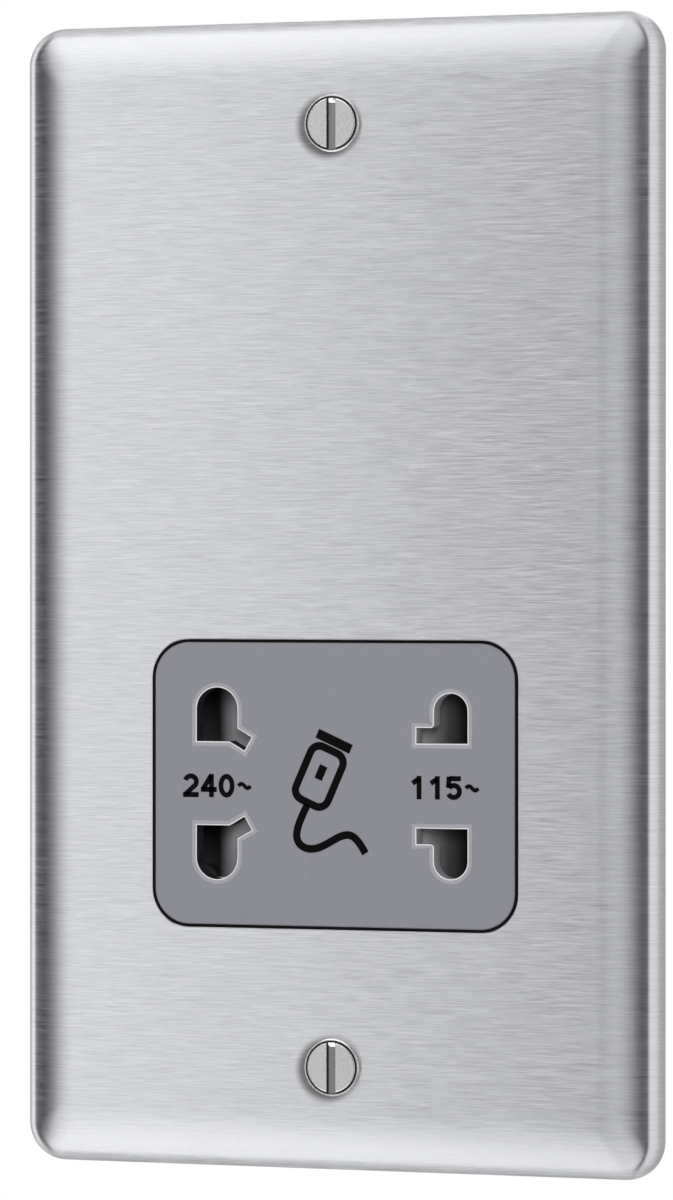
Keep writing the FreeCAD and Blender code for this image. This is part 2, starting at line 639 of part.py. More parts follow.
def jaw(side, up):
    """One sprung jaw: a foot on the base and two leaves that close on the pin."""
    x0 = side * APERTURE_X - JAW_WIDTH / 2
    x1 = x0 + JAW_WIDTH
    row = MIDDLE + up * JAW_ROW
    foot = box(x0, x1, BASE_FRONT - BAR, BASE_FRONT, row - JAW_SPREAD - BAR / 2, row + JAW_SPREAD + BAR / 2)
    leaves = []
    for leaf in SIDES:
        line = [(BASE_FRONT - BAR / 2, row + leaf * JAW_SPREAD),
                (JAW_FRONT + JAW_DEPTH * 0.3, row + leaf * JAW_NIP),
                (JAW_FRONT, row + leaf * JAW_MOUTH)]
        leaves.append(strip_in_side_view(line, BAR, x0, x1))
    return joined([foot] + leaves)


def tail_height():
    """The height at which the contact tails turn forward, above the base and below the transformer."""
    return (MIDDLE + BASE_HEIGHT / 2 + CORE_BOTTOM) / 2 - TAIL_DROP


def pin_y():
    """The depth of the bobbin's pins, just in front of the core."""
    return CORE_FRONT - PIN_SETBACK


def make_common_contact():
    row = MIDDLE + JAW_ROW
    link = box(-APERTURE_X, APERTURE_X, BASE_FRONT - BAR, BASE_FRONT, row - JAW_LINK_HALF,
               row + JAW_LINK_HALF)
    turn = tail_height()
    front = pin_y() - PIN_DIA / 2 - BAR / 2
    line = [(BASE_FRONT - BAR / 2, row), (BASE_FRONT - BAR / 2, turn), (front, turn),
            (front, WINDOW_BOTTOM - PIN_REACH / 2)]
    tail = strip_in_side_view(line, BAR, -TAIL_WIDTH / 2, TAIL_WIDTH / 2)
    return joined([jaw(-1, 1), jaw(1, 1), link, tail])


def make_single_contact(side):
    """A lower jaw with a tail that climbs past the upper jaw to its own bobbin pin."""
    row = MIDDLE - JAW_ROW
    outer = side * BASE_HALF
    inner = side * (BASE_HALF - TAIL_WIDTH)
    x0, x1 = sorted((outer, inner))
    link0, link1 = sorted((outer, side * APERTURE_X))
    link = box(link0, link1, BASE_FRONT - BAR, BASE_FRONT, row - JAW_LINK_HALF, row + JAW_LINK_HALF)
    turn = tail_height()
    front = pin_y() - PIN_DIA / 2 - BAR / 2
    line = [(BASE_FRONT - BAR / 2, row), (BASE_FRONT - BAR / 2, turn), (front, turn),
            (front, turn + TAIL_WIDTH)]
    climb = strip_in_side_view(line, BAR, x0, x1)
    pin_x = side * PIN_PITCH
    across0, across1 = sorted((outer, pin_x - side * TAIL_WIDTH / 2))
    across = box(across0, across1, front - BAR / 2, front + BAR / 2, turn, turn + TAIL_WIDTH)
    rise = box(pin_x - TAIL_WIDTH / 2, pin_x + TAIL_WIDTH / 2, front - BAR / 2, front + BAR / 2, turn,
               WINDOW_BOTTOM - PIN_REACH / 2)
    return joined([jaw(side, -1), link, climb, across, rise])


def make_live_leaf():
    """The always-touching switch leaf, folded over the platform's lower edge and down to the live link."""
    leaf = box(-LEAF_REACH, LEAF_REACH, LEAF_FRONT, LEAF_BACK, MIDDLE - LEAF_APART - LEAF_WIDTH,
               MIDDLE - LEAF_APART)
    edge = MIDDLE - PLATFORM_HEIGHT / 2 - STRIP / 2
    half = STRIP / 2
    line = [(LEAF_FRONT + half, MIDDLE - LEAF_WIDTH), (LEAF_FRONT + half, edge), (BASE_FRONT - half, edge),
            (BASE_FRONT - half, LINK_TOP - LINK_WIDTH)]
    return joined([leaf, strip_in_side_view(line, STRIP, -TAIL_WIDTH / 2, TAIL_WIDTH / 2)])


def make_load_leaf():
    """The leaf with a dead spot in the middle, folded round the platform and out to the thermal cut-out."""
    pad = LEAF_FRONT + STRIP / 2
    dip = pad + LEAF_DIP
    gap = BRIDGE_HALF + 1.0
    side = -PLATFORM_HALF - STRIP / 2
    line = [(LEAF_REACH, pad), (gap + LEAF_DIP, pad), (gap, dip), (-gap, dip), (-gap - LEAF_DIP, pad),
            (side, pad), (side, LANE_Y), (-LANE_X, LANE_Y)]
    return strip_in_plan(line, STRIP, MIDDLE + LEAF_APART, MIDDLE + LEAF_APART + LEAF_WIDTH)


def make_thermal_cutout():
    """A cylindrical cut-out with a tail at each end, standing on the load leaf."""
    bottom = MIDDLE + LEAF_APART + LEAF_WIDTH
    can_top = CUTOUT_TAIL + CUTOUT_LENGTH
    places = [(CUTOUT_TAIL_RADIUS, 0, CUTOUT_TAIL), (CUTOUT_RADIUS, CUTOUT_TAIL, can_top),
              (CUTOUT_TAIL_RADIUS, can_top, can_top + CUTOUT_TAIL)]
    return joined([rod(r, Vector(-LANE_X, LANE_Y, bottom + a), Vector(-LANE_X, LANE_Y, bottom + b))
                   for r, a, b in places])


# Transformer: laminated core, strap, two-section bobbin, windings and pins
def make_core_e():
    yoke = box(-CORE_HALF, CORE_HALF, CORE_FRONT, CORE_BACK, WINDOW_TOP, CORE_TOP)
    legs = [box(-OUTER_LEG, OUTER_LEG, CORE_FRONT, CORE_BACK, WINDOW_BOTTOM, WINDOW_TOP)]
    for side in SIDES:
        x0, x1 = sorted((side * 2 * OUTER_LEG, side * CORE_HALF))
        legs.append(box(x0, x1, CORE_FRONT, CORE_BACK, WINDOW_BOTTOM, WINDOW_TOP))
    return joined([yoke] + legs)


def make_core_i():
    return box(-CORE_HALF, CORE_HALF, CORE_FRONT, CORE_BACK, CORE_BOTTOM, WINDOW_BOTTOM)


def make_core_strap():
    """The steel band over the core, its ends folded under it."""
    middle = (CORE_FRONT + CORE_BACK) / 2
    out = CORE_HALF + STRAP / 2
    under = CORE_BOTTOM - STRAP / 2
    over = CORE_TOP + STRAP / 2
    line = [(STRAP_FOLD - CORE_HALF, under), (-out, under), (-out, over), (out, over), (out, under),
            (CORE_HALF - STRAP_FOLD, under)]
    corners = [Vector(x, middle - STRAP_WIDTH / 2, z) for x, z in strip_outline(line, STRAP)]
    return prism(corners, Vector(0, STRAP_WIDTH, 0))


def coil_ring(half_x, half_y, inner_x, inner_y, z0, z1, radius):
    """A rounded rectangular ring round the centre leg."""
    y = (CORE_FRONT + CORE_BACK) / 2
    outer = box(-half_x, half_x, y - half_y, y + half_y, z0, z1)
    corners = [e for e in outer.Edges if abs(e.Vertexes[0].Z - e.Vertexes[1].Z) > 1e-6]
    outer = outer.makeFillet(radius, corners)
    return outer.cut(box(-inner_x, inner_x, y - inner_y, y + inner_y, z0 - 1, z1 + 1))


def bobbin_sizes():
    """Half sizes of the bobbin's tube, bore and flanges, and its flange heights."""
    bore = (OUTER_LEG + BOBBIN_SLACK, STACK / 2 + BOBBIN_SLACK)
    tube = (bore[0] + BOBBIN_WALL, bore[1] + BOBBIN_WALL)
    flange = (2 * OUTER_LEG - BOBBIN_SLACK, STACK / 2 + COIL_BUILD)
    bottom = WINDOW_BOTTOM + BOBBIN_SLACK
    top = WINDOW_TOP - BOBBIN_SLACK
    return bore, tube, flange, bottom, top


def make_bobbin():
    bore, tube, flange, bottom, top = bobbin_sizes()
    middle = (bottom + top) / 2
    parts = [coil_ring(tube[0], tube[1], bore[0], bore[1], bottom, top, TUBE_CORNER)]
    for z in (bottom, middle - BOBBIN_WALL / 2, top - BOBBIN_WALL):
        parts.append(coil_ring(flange[0], flange[1], bore[0], bore[1], z, z + BOBBIN_WALL, FLANGE_CORNER))
    return joined(parts)


def make_winding(upper):
    """A winding that fills one section of the bobbin."""
    bore, tube, flange, bottom, top = bobbin_sizes()
    middle = (bottom + top) / 2
    z0 = middle + BOBBIN_WALL / 2 if upper else bottom + BOBBIN_WALL
    z1 = top - BOBBIN_WALL if upper else middle - BOBBIN_WALL / 2
    return coil_ring(flange[0] - WINDING_SLACK, flange[1] - WINDING_SLACK, tube[0] + WINDING_FIT,
                     tube[1] + WINDING_FIT, z0, z1, WINDING_CORNER)


def make_bobbin_pins():
    """Three secondary pins below the bobbin and two primary pins above it."""
    bottom, top = bobbin_sizes()[3:]
    y = pin_y()
    pins = [rod(PIN_DIA / 2, Vector(i * PIN_PITCH, y, bottom - PIN_REACH), Vector(i * PIN_PITCH, y, bottom))
            for i in (-1, 0, 1)]
    pins += [rod(PIN_DIA / 2, Vector(side * PRIMARY_PIN_X, y, top),
                 Vector(side * PRIMARY_PIN_X, y, top + PIN_REACH)) for side in SIDES]
    return Part.makeCompound(pins)


def make_primary_lead(side, start_z):
    """A lead up the cover's side wall and across to a primary pin."""
    level = bobbin_sizes()[4] + PIN_REACH - LEAD_RADIUS
    end = side * (PRIMARY_PIN_X + PIN_DIA / 2)
    points = [Vector(side * LANE_X, LANE_Y, start_z), Vector(side * LANE_X, LANE_Y, level),
              Vector(side * LANE_X, pin_y(), level), Vector(end, pin_y(), level)]
    return lead(points, LEAD_RADIUS, LEAD_BEND)


# Rear cover: shallow behind the socket, deep behind the transformer, vented at the back
def make_rear_cover():
    corner = COVER_CORNER
    height = 2 * COVER_HALF_HEIGHT
    deep = COVER_HALF_HEIGHT - STEP_HEIGHT
    deep_z = (COVER_HALF_HEIGHT + STEP_HEIGHT) / 2
    low = slab(2 * COVER_HALF, height, corner, FRAME_BACK, LOW_BACK, rounded_back=COVER_EDGE)
    high = slab(2 * (DEEP_HALF + WALL), deep, corner, FRAME_BACK, HIGH_BACK, z=deep_z,
                rounded_back=COVER_EDGE)
    low_room = slab(2 * INNER_HALF, height - 2 * WALL, corner - WALL, FRAME_BACK - 1, BASE_BACK)
    high_room = slab(2 * DEEP_HALF, deep - 2 * WALL, corner - WALL, FRAME_BACK - 1, HIGH_INNER, z=deep_z)
    ear_slabs = ears(FRAME_BACK, FRAME_BACK + EAR_THICK)
    shell = without(joined([low, high] + ear_slabs), [low_room, high_room])

    # Posts behind the core and bosses for the terminal block's screws
    fittings = [rod_y(POST_RADIUS, CORE_BACK, HIGH_INNER, x, z) for x, z in core_post_places()]
    for side in SIDES:
        fittings.append(rod_y(BLOCK_EAR_RADIUS - 0.5, BASE_FRONT, BASE_BACK, side * BLOCK_EAR_X,
                              block_screw_z()))
    shell = joined([shell] + fittings)

    # Holes: ear screws, block screws, link slots and vents
    hole = COVER_SCREW / 2
    tools = [rod_y(hole + STUD_SLACK, FRAME_BACK - 1, FRAME_BACK + EAR_THICK + 1, a * EAR_X, b * EAR_Z)
             for a in SIDES for b in SIDES]
    tools += [rod_y(hole + PILOT_SLACK, BASE_FRONT + PILOT_END, LOW_BACK + 1, side * BLOCK_EAR_X,
                    block_screw_z()) for side in SIDES]
    tools += link_slots(BASE_BACK - 1, LOW_BACK + 1)
    first = deep_z - (VENT_COUNT - 1) / 2 * VENT_PITCH
    for side in SIDES:
        for i in range(VENT_COUNT):
            x = side * VENT_X
            z = first + i * VENT_PITCH
            tools.append(box(x - VENT_LENGTH / 2, x + VENT_LENGTH / 2, HIGH_INNER - 1, HIGH_BACK + 1,
                             z - VENT_WIDTH / 2, z + VENT_WIDTH / 2))
    return without(shell, tools)


def make_cover_screws():
    length = EAR_THICK + FRAME_THICK - SCREW_SHORT
    ear_screw = turned_back(screw(COVER_SCREW_HEAD, COVER_SCREW_HEAD_RISE, COVER_SCREW, length))
    return Part.makeCompound([moved(ear_screw, a * EAR_X, FRAME_BACK + EAR_THICK, b * EAR_Z)
                              for a in SIDES for b in SIDES])


# Terminals: three brass pillars in a moulded block on the shallow part of the cover
def block_screw_z():
    """The height of the block's screws: their bosses stand just above the outer links."""
    return LINK_TOP + BLOCK_EAR_RADIUS + LINK_SLACK


def link_heights():
    """Lower and upper edge of the outer links, and of the earth strap below them."""
    outer = (LINK_TOP - LINK_WIDTH, LINK_TOP)
    earth = (-STUD_Z - LINK_WIDTH / 2, -STUD_Z + LINK_WIDTH / 2)
    return outer, earth


def link_slots(front, back):
    """Slots through which the three links pass."""
    outer, earth = link_heights()
    slots = []
    half = BAR / 2 + LINK_SLACK
    for i, span in ((-1, outer), (0, earth), (1, outer)):
        x = i * TERMINAL_PITCH
        slots.append(box(x - half, x + half, front, back, span[0] - LINK_SLACK, span[1] + LINK_SLACK))
    return slots


def make_terminal_block():
    half = TERMINAL_PITCH + PILLAR_WIDTH / 2 + BLOCK_WALL
    back = PILLAR_BACK + BLOCK_WALL
    top = PILLAR_TOP + BLOCK_WALL
    body = box(-half, half, LOW_BACK, back, PILLAR_BOTTOM, top)
    ear = [slab(2 * (BLOCK_EAR_X - half + BLOCK_EAR_RADIUS), 2 * BLOCK_EAR_RADIUS, BLOCK_EAR_RADIUS * 0.9,
                LOW_BACK, LOW_BACK + EAR_THICK, side * half, block_screw_z()) for side in SIDES]
    body = joined([body] + ear)
    tools = link_slots(LOW_BACK - 1, PILLAR_FRONT + 1)
    for i in (-1, 0, 1):
        x = i * TERMINAL_PITCH
        width = PILLAR_WIDTH / 2 + PILLAR_SLACK
        tools.append(box(x - width, x + width, PILLAR_FRONT, PILLAR_BACK + PILLAR_SLACK, PILLAR_BOTTOM - 1,
                         PILLAR_TOP))
        tools.append(rod_y(CLAMP_HEAD / 2 + 0.4, PILLAR_BACK, back + 1, x, clamp_z()))
    tools += [rod_y(COVER_SCREW / 2 + STUD_SLACK, LOW_BACK - 1, LOW_BACK + EAR_THICK + 1,
                    side * BLOCK_EAR_X, block_screw_z()) for side in SIDES]
    return without(body, tools)


def clamp_z():
    return (PILLAR_BOTTOM + PILLAR_TOP) / 2


def make_terminal(i):
    """A brass pillar: wire hole from below, clamp screw from behind."""
    x = i * TERMINAL_PITCH
    half = PILLAR_WIDTH / 2
    body = box(x - half, x + half, PILLAR_FRONT, PILLAR_BACK, PILLAR_BOTTOM, PILLAR_TOP)
    wire = rod(WIRE_HOLE / 2, Vector(x, PILLAR_Y, PILLAR_BOTTOM - 1), Vector(x, PILLAR_Y, PILLAR_TOP + 1))
    thread = rod_y(CLAMP_SCREW / 2 + CLAMP_SLACK, PILLAR_Y, PILLAR_BACK + 1, x, clamp_z())
    return without(body, [wire, thread])


def make_terminal_screws():
    reach = PILLAR_BACK - PILLAR_Y - WIRE_HOLE / 2
    clamp = turned_back(screw(CLAMP_HEAD, CLAMP_HEAD_RISE, CLAMP_SCREW, reach))
    return Part.makeCompound([moved(clamp, i * TERMINAL_PITCH, PILLAR_BACK, clamp_z()) for i in (-1, 0, 1)])


def make_block_screws():
    length = EAR_THICK + LOW_BACK - BASE_FRONT - PILOT_END - SCREW_SHORT
    block_screw = turned_back(screw(COVER_SCREW_HEAD, COVER_SCREW_HEAD_RISE, COVER_SCREW, length))
    return Part.makeCompound([moved(block_screw, side * BLOCK_EAR_X, LOW_BACK + EAR_THICK, block_screw_z())
                              for side in SIDES])


def make_live_link():
    x = -TERMINAL_PITCH
    run = BASE_FRONT + BAR / 2
    line = [(x, PILLAR_FRONT), (x, run), (TAIL_WIDTH / 2, run)]
    outer = link_heights()[0]
    return strip_in_plan(line, BAR, outer[0], outer[1])


def make_neutral_link():
    x = TERMINAL_PITCH
    run = BASE_FRONT + BAR / 2
    line = [(x, PILLAR_FRONT), (x, run), (LANE_X, run), (LANE_X, LANE_Y - LEAD_RADIUS)]
    outer = link_heights()[0]
    return strip_in_plan(line, BAR, outer[0], outer[1])


def make_earth_strap():
    """The link from the earth terminal to a plate stud, held under its nut."""
    run = BASE_BACK - BAR
    turn = STUD_X - EARTH_TURN
    foot = FRAME_BACK + BAR / 2
    line = [(0, PILLAR_FRONT), (0, run), (turn, run), (turn, foot), (STUD_X, foot)]
    earth = link_heights()[1]
    strap = strip_in_plan(line, BAR, earth[0], earth[1])
    eye = rod_y(STUD_DIA, FRAME_BACK, FRAME_BACK + BAR, STUD_X, -STUD_Z)
    hole = rod_y(STUD_DIA / 2 + STUD_SLACK, FRAME_BACK - 1, FRAME_BACK + 2, STUD_X, -STUD_Z)
    return joined([strap, eye]).cut(hole)


# Every piece under its own name
pieces = {
    "front_plate": make_front_plate(),
    "fixing_screws": make_fixing_screws(),
    "socket_insert": make_socket_insert(),
    "insert_seal": make_insert_seal(),
    "carrier_frame": make_carrier_frame(),
    "stud_nuts": make_stud_nuts(),
    "shutter_slide": make_shutter_slide(),
    "left_spring": make_return_spring(-1),
    "right_spring": make_return_spring(1),
    "bridge_contact": make_bridge_contact(),
    "contact_base": make_contact_base(),
    "common_contact": make_common_contact(),
    "left_contact": make_single_contact(-1),
    "right_contact": make_single_contact(1),
    "live_leaf": make_live_leaf(),
    "load_leaf": make_load_leaf(),
    "thermal_cutout": make_thermal_cutout(),
    "core_e": make_core_e(),
    "core_i": make_core_i(),
    "core_strap": make_core_strap(),
    "bobbin": make_bobbin(),
    "bobbin_pins": make_bobbin_pins(),
    "primary_winding": make_winding(True),
    "secondary_winding": make_winding(False),
    "live_lead": make_primary_lead(-1, MIDDLE + LEAF_APART + LEAF_WIDTH + 2 * CUTOUT_TAIL + CUTOUT_LENGTH),
    "neutral_lead": make_primary_lead(1, LINK_TOP),
    "rear_cover": make_rear_cover(),
    "cover_screws": make_cover_screws(),
    "terminal_block": make_terminal_block(),
    "block_screws": make_block_screws(),
    "live_terminal": make_terminal(-1),
    "earth_terminal": make_terminal(0),
    "neutral_terminal": make_terminal(1),
    "terminal_screws": make_terminal_screws(),
    "live_link": make_live_link(),
    "neutral_link": make_neutral_link(),
    "earth_strap": make_earth_strap(),
}

os.makedirs("parts", exist_ok=True)
for name, shape in pieces.items():
    shape.exportStep("parts/" + name + ".step")
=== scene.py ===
import math

import bmesh
import bpy
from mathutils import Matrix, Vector


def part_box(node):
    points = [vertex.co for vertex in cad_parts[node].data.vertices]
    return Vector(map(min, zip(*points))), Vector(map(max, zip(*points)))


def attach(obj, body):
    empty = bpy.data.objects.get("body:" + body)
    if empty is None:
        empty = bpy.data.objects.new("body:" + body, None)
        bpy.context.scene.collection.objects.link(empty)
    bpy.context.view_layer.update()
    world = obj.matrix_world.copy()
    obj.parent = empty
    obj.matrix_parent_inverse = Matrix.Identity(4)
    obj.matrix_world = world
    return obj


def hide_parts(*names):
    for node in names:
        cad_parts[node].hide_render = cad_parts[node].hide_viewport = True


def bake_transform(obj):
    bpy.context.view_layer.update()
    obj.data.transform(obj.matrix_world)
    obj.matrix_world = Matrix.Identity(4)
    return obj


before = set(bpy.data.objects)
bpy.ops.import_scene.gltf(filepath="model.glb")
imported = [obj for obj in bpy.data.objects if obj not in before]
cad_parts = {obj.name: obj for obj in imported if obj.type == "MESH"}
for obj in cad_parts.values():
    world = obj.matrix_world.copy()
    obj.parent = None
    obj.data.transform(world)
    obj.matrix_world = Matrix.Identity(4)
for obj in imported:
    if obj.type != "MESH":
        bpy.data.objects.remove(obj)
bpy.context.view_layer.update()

# Front plate: one sheet of stainless steel, brushed level before it was pressed, so the lines run over its
# rolled edges. It has a cut-out for the insert, a hole for each fixing screw and four studs welded behind.
MM = 0.001
plate_low, plate_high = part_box("front_plate")
seal_low, seal_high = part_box("insert_seal")
fixing_low, fixing_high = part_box("fixing_screws")
nut_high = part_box("stud_nuts")[1]
plate_face = plate_low.y
sheet = 1.0 * MM
corner_radius = 5.0 * MM
corner_easing = 0.25       # how fast the corner tightens inwards over the crown
crown_radius = 17.0 * MM   # slow curve at the edge of the face
crown_turn = math.radians(22)
rim = 0.35 * MM            # straight part of the edge, next to the wall
edge_radius = (-plate_face - rim - crown_radius * (1 - math.cos(crown_turn))) / math.cos(crown_turn)
roll_reach = crown_radius * math.sin(crown_turn) + edge_radius * (1 - math.sin(crown_turn))
roll_steps = 16            # rows along each curve
cut_slack = 0.03 * MM      # seal to the edge of the cut-out
cut_corner = 5.0 * MM
cut_ease = 0.12 * MM       # bevel of the cut-out's front edge
insert_z = (seal_low.z + seal_high.z) / 2
fixing_head = fixing_high.x
fixing_z = fixing_high.z - fixing_head
fixing_hole = 2.0 * MM
screw_shadow_place = (-0.8 * MM, -0.35 * MM)   # painted shadow beside each fixing head, placed from its centre
screw_shadow_radius = 3.3 * MM
screw_shadow_fade = 1.3 * MM
screw_shadow_depth = 0.3          # what is left of the steel's brightness there
stud_radius = 1.5 * MM
stud_chamfer = 0.3 * MM
stud_steps = 24
nut_flat = 2.75 * MM       # from the nut's middle to a flat
nut_corner = 3.175 * MM    # from the nut's middle to a corner
stud_x = nut_high.x - nut_flat
stud_z = nut_high.z - nut_corner
crease_angle = 32.0        # degrees from which an edge stays sharp
grain_detail = 4.0
grain_low, grain_high = 0.3, 0.7   # part of the noise over which tone and gloss change
grain_depth = 0.05 * MM    # relief at full strength


def rounded_rectangle(half_x, half_z, radius, middle_z=0.0, arc=12, straight=24):
    """Points of a rectangle with round corners, each straight side cut into equal lengths."""
    arcs = []
    for quarter, (side_x, side_z) in enumerate(((1, 1), (-1, 1), (-1, -1), (1, -1))):
        turns = [math.radians(90 * (quarter + i / arc)) for i in range(arc + 1)]
        arcs.append([(side_x * (half_x - radius) + radius * math.cos(t),
                      middle_z + side_z * (half_z - radius) + radius * math.sin(t)) for t in turns])
    points = []
    for here, following in zip(arcs, arcs[1:] + arcs[:1]):
        (x0, z0), (x1, z1) = here[-1], following[0]
        points += here
        points += [(x0 + (x1 - x0) * i / straight, z0 + (z1 - z0) * i / straight)
                   for i in range(1, straight)]
    return points


def circle(radius, x=0.0, z=0.0, steps=48):
    """Points round a circle."""
    turns = [2 * math.pi * i / steps for i in range(steps)]
    return [(x + radius * math.cos(t), z + radius * math.sin(t)) for t in turns]


def loop(bm, points, y):
    """A closed row of vertices at one depth."""
    return [bm.verts.new((x, y, z)) for x, z in points]


def band(bm, first, second, slot=0):
    """Faces between two closed rows of the same count."""
    count = len(first)
    for i in range(count):
        j = (i + 1) % count
        bm.faces.new((first[i], first[j], second[j], second[i])).material_index = slot


def fill(bm, *rows):
    """A flat face inside the first row and outside the rest."""
    edges = []
    for row in rows:
        for a, b in zip(row, row[1:] + row[:1]):
            edges.append(bm.edges.get((a, b)) or bm.edges.new((a, b)))
    bmesh.ops.triangle_fill(bm, edges=edges, use_beauty=True)


def lathe(bm, profile, x, z, steps=48, dark=()):
    """A turned form on an axis along Y, from (radius, depth) pairs, the first and last closed by a flat."""
    rows = [loop(bm, circle(radius, x, z, steps), y) for radius, y in profile]
    for i, (first, second) in enumerate(zip(rows, rows[1:])):
        band(bm, first, second, 1 if i in dark else 0)
    bm.faces.new(rows[0])
    bm.faces.new(rows[-1])


def piece_from(bm, name, materials, crease=crease_angle):
    """An object from a finished mesh, smooth except at its creases."""
    bmesh.ops.recalc_face_normals(bm, faces=bm.faces)
    mesh = bpy.data.meshes.new(name)
    bm.to_mesh(mesh)
    bm.free()
    mesh.shade_smooth()
    mesh.set_sharp_from_angle(angle=math.radians(crease))
    for material in materials:
        mesh.materials.append(material)
    piece = bpy.data.objects.new(name, mesh)
    bpy.context.scene.collection.objects.link(piece)
    return piece


def finish(name, colour, roughness, metallic=0.0, grain=900.0, stretch=(1.0, 1.0, 1.0),
           tone=0.08, gloss=0.08, bump=0.05, specular=0.5):
    """A surface whose colour, gloss and relief follow one noise, stretched along the way it was worked."""
    material = bpy.data.materials.new(name)
    material.use_nodes = True
    nodes = material.node_tree.nodes
    links = material.node_tree.links
    shader = nodes["Principled BSDF"]
    shader.inputs["Metallic"].default_value = metallic
    shader.inputs["Specular IOR Level"].default_value = specular
    place = nodes.new("ShaderNodeTexCoord")
    scale = nodes.new("ShaderNodeMapping")
    scale.inputs["Scale"].default_value = stretch
    noise = nodes.new("ShaderNodeTexNoise")
    noise.inputs["Scale"].default_value = grain
    noise.inputs["Detail"].default_value = grain_detail
    links.new(place.outputs["Object"], scale.inputs["Vector"])
    links.new(scale.outputs["Vector"], noise.inputs["Vector"])
    ramp = nodes.new("ShaderNodeValToRGB")
    shades = zip(ramp.color_ramp.elements, (grain_low, grain_high), (1 - tone, 1 + tone))
    for element, position, factor in shades:
        element.position = position
        element.color = [min(1.0, c * factor) for c in colour] + [1.0]
    links.new(noise.outputs["Fac"], ramp.inputs["Fac"])
    links.new(ramp.outputs["Color"], shader.inputs["Base Color"])
    spread = nodes.new("ShaderNodeMapRange")
    spread.inputs["From Min"].default_value = grain_low
    spread.inputs["From Max"].default_value = grain_high
    spread.inputs["To Min"].default_value = roughness - gloss
    spread.inputs["To Max"].default_value = roughness + gloss
    links.new(noise.outputs["Fac"], spread.inputs["Value"])
    links.new(spread.outputs["Result"], shader.inputs["Roughness"])
    relief = nodes.new("ShaderNodeBump")
    relief.inputs["Strength"].default_value = bump
    relief.inputs["Distance"].default_value = grain_depth
    links.new(noise.outputs["Fac"], relief.inputs["Height"])
    links.new(relief.outputs["Normal"], shader.inputs["Normal"])
    return material


def darken(material, share):
    """Multiplies a finish's colour by another output of its own nodes, painting shade into it."""
    nodes = material.node_tree.nodes
    links = material.node_tree.links
    product = nodes.new("ShaderNodeMix")
    product.data_type = "RGBA"
    product.blend_type = "MULTIPLY"
    product.inputs["Factor"].default_value = 1.0
    first, second, result = 6, 7, 2   # the mix node's colour sockets
    links.new(nodes["Color Ramp"].outputs["Color"], product.inputs[first])
    links.new(share, product.inputs[second])
    links.new(product.outputs[result], nodes["Principled BSDF"].inputs["Base Color"])


def roll_place(turn):
    """Inset from the rim and depth below the face where the edge has turned by an angle."""
    crown = min(turn, crown_turn)
    across = crown_radius * math.sin(crown) + edge_radius * (math.sin(turn) - math.sin(crown))
    down = crown_radius * (1 - math.cos(crown)) + edge_radius * (math.cos(crown) - math.cos(turn))
    return roll_reach - across, down


def roll_profile():
    """Inset, depth and slope of each row, from the flat of the face over crown and edge to the wall."""
    turns = [crown_turn * i / roll_steps for i in range(roll_steps)]
    turns += [crown_turn + (math.pi / 2 - crown_turn) * i / roll_steps for i in range(roll_steps + 1)]
    return [roll_place(turn) + (turn,) for turn in turns] + [(0.0, -plate_face, math.pi / 2)]


def plate_outline(inset):
    """The plate's outline drawn in by an inset, its corners even over the edge and easing over the crown."""
    edge_inset = roll_place(crown_turn)[0]
    radius = corner_radius - min(inset, edge_inset) - corner_easing * max(inset - edge_inset, 0.0)
    return rounded_rectangle(plate_high.x - inset, plate_high.z - inset, radius)


bm = bmesh.new()
unrolled = {}
outer_rows = []
inner_rows = []
travelled = 0.0
last = (roll_reach, 0.0)
for inset, depth, slope in roll_profile():
    travelled += math.hypot(inset - last[0], depth - last[1])
    last = (inset, depth)
    flat = plate_outline(roll_reach - travelled)
    outer = loop(bm, plate_outline(inset), plate_face + depth)
    inner_depth = min(depth + sheet * math.cos(slope), -plate_face)
    inner = loop(bm, plate_outline(inset + sheet * math.sin(slope)), plate_face + inner_depth)
    for row in (outer, inner):
        unrolled.update(zip(row, flat))
    outer_rows.append(outer)
    inner_rows.append(inner)
for rows in (outer_rows, inner_rows):
    for first, second in zip(rows, rows[1:]):
        band(bm, first, second)
band(bm, outer_rows[-1], inner_rows[-1])


def cut_out(grow):
    """The outline of the insert's cut-out, let out by a distance."""
    half_x = seal_high.x + cut_slack + grow
    half_z = (seal_high.z - seal_low.z) / 2 + cut_slack + grow
    return rounded_rectangle(half_x, half_z, cut_corner + grow, insert_z)


openings = [[(cut_out(cut_ease), 0.0), (cut_out(0.0), cut_ease), (cut_out(0.0), sheet)]]
for side in (-1, 1):
    hole = circle(fixing_hole, 0.0, side * fixing_z)
    openings.append([(hole, 0.0), (hole, sheet)])
front_edges = []
back_edges = []
for rows in openings:
    edges = []
    for points, depth in rows:
        edges.append(loop(bm, points, plate_face + depth))
        unrolled.update(zip(edges[-1], points))
    for first, second in zip(edges, edges[1:]):
        band(bm, first, second)
    front_edges.append(edges[0])
    back_edges.append(edges[-1])
fill(bm, outer_rows[0], *front_edges)
fill(bm, inner_rows[0], *back_edges)
uv = bm.loops.layers.uv.new("brushing")
for face in bm.faces:
    for corner in face.loops:
        corner[uv].uv = unrolled[corner.vert]
for side_x in (-1, 1):
    for side_z in (-1, 1):
        stud = [(stud_radius, plate_face + sheet / 2), (stud_radius, plate_high.y - stud_chamfer),
                (stud_radius - stud_chamfer, plate_high.y)]
        lathe(bm, stud, side_x * stud_x, side_z * stud_z, stud_steps)
plate_steel = finish("plate_steel", (0.690, 0.699, 0.721), roughness=0.345, metallic=1.0, grain=6500.0,
                     stretch=(0.036, 0.03, 1.0), tone=0.14, gloss=0.06, bump=0.05)
nodes = plate_steel.node_tree.nodes
links = plate_steel.node_tree.links
lines = nodes["Noise Texture"]
lines.inputs["Distortion"].default_value = 0.8   # keeps the brushing lines from starting in step
steel = nodes["Principled BSDF"]
steel.inputs["Anisotropic"].default_value = 0.95
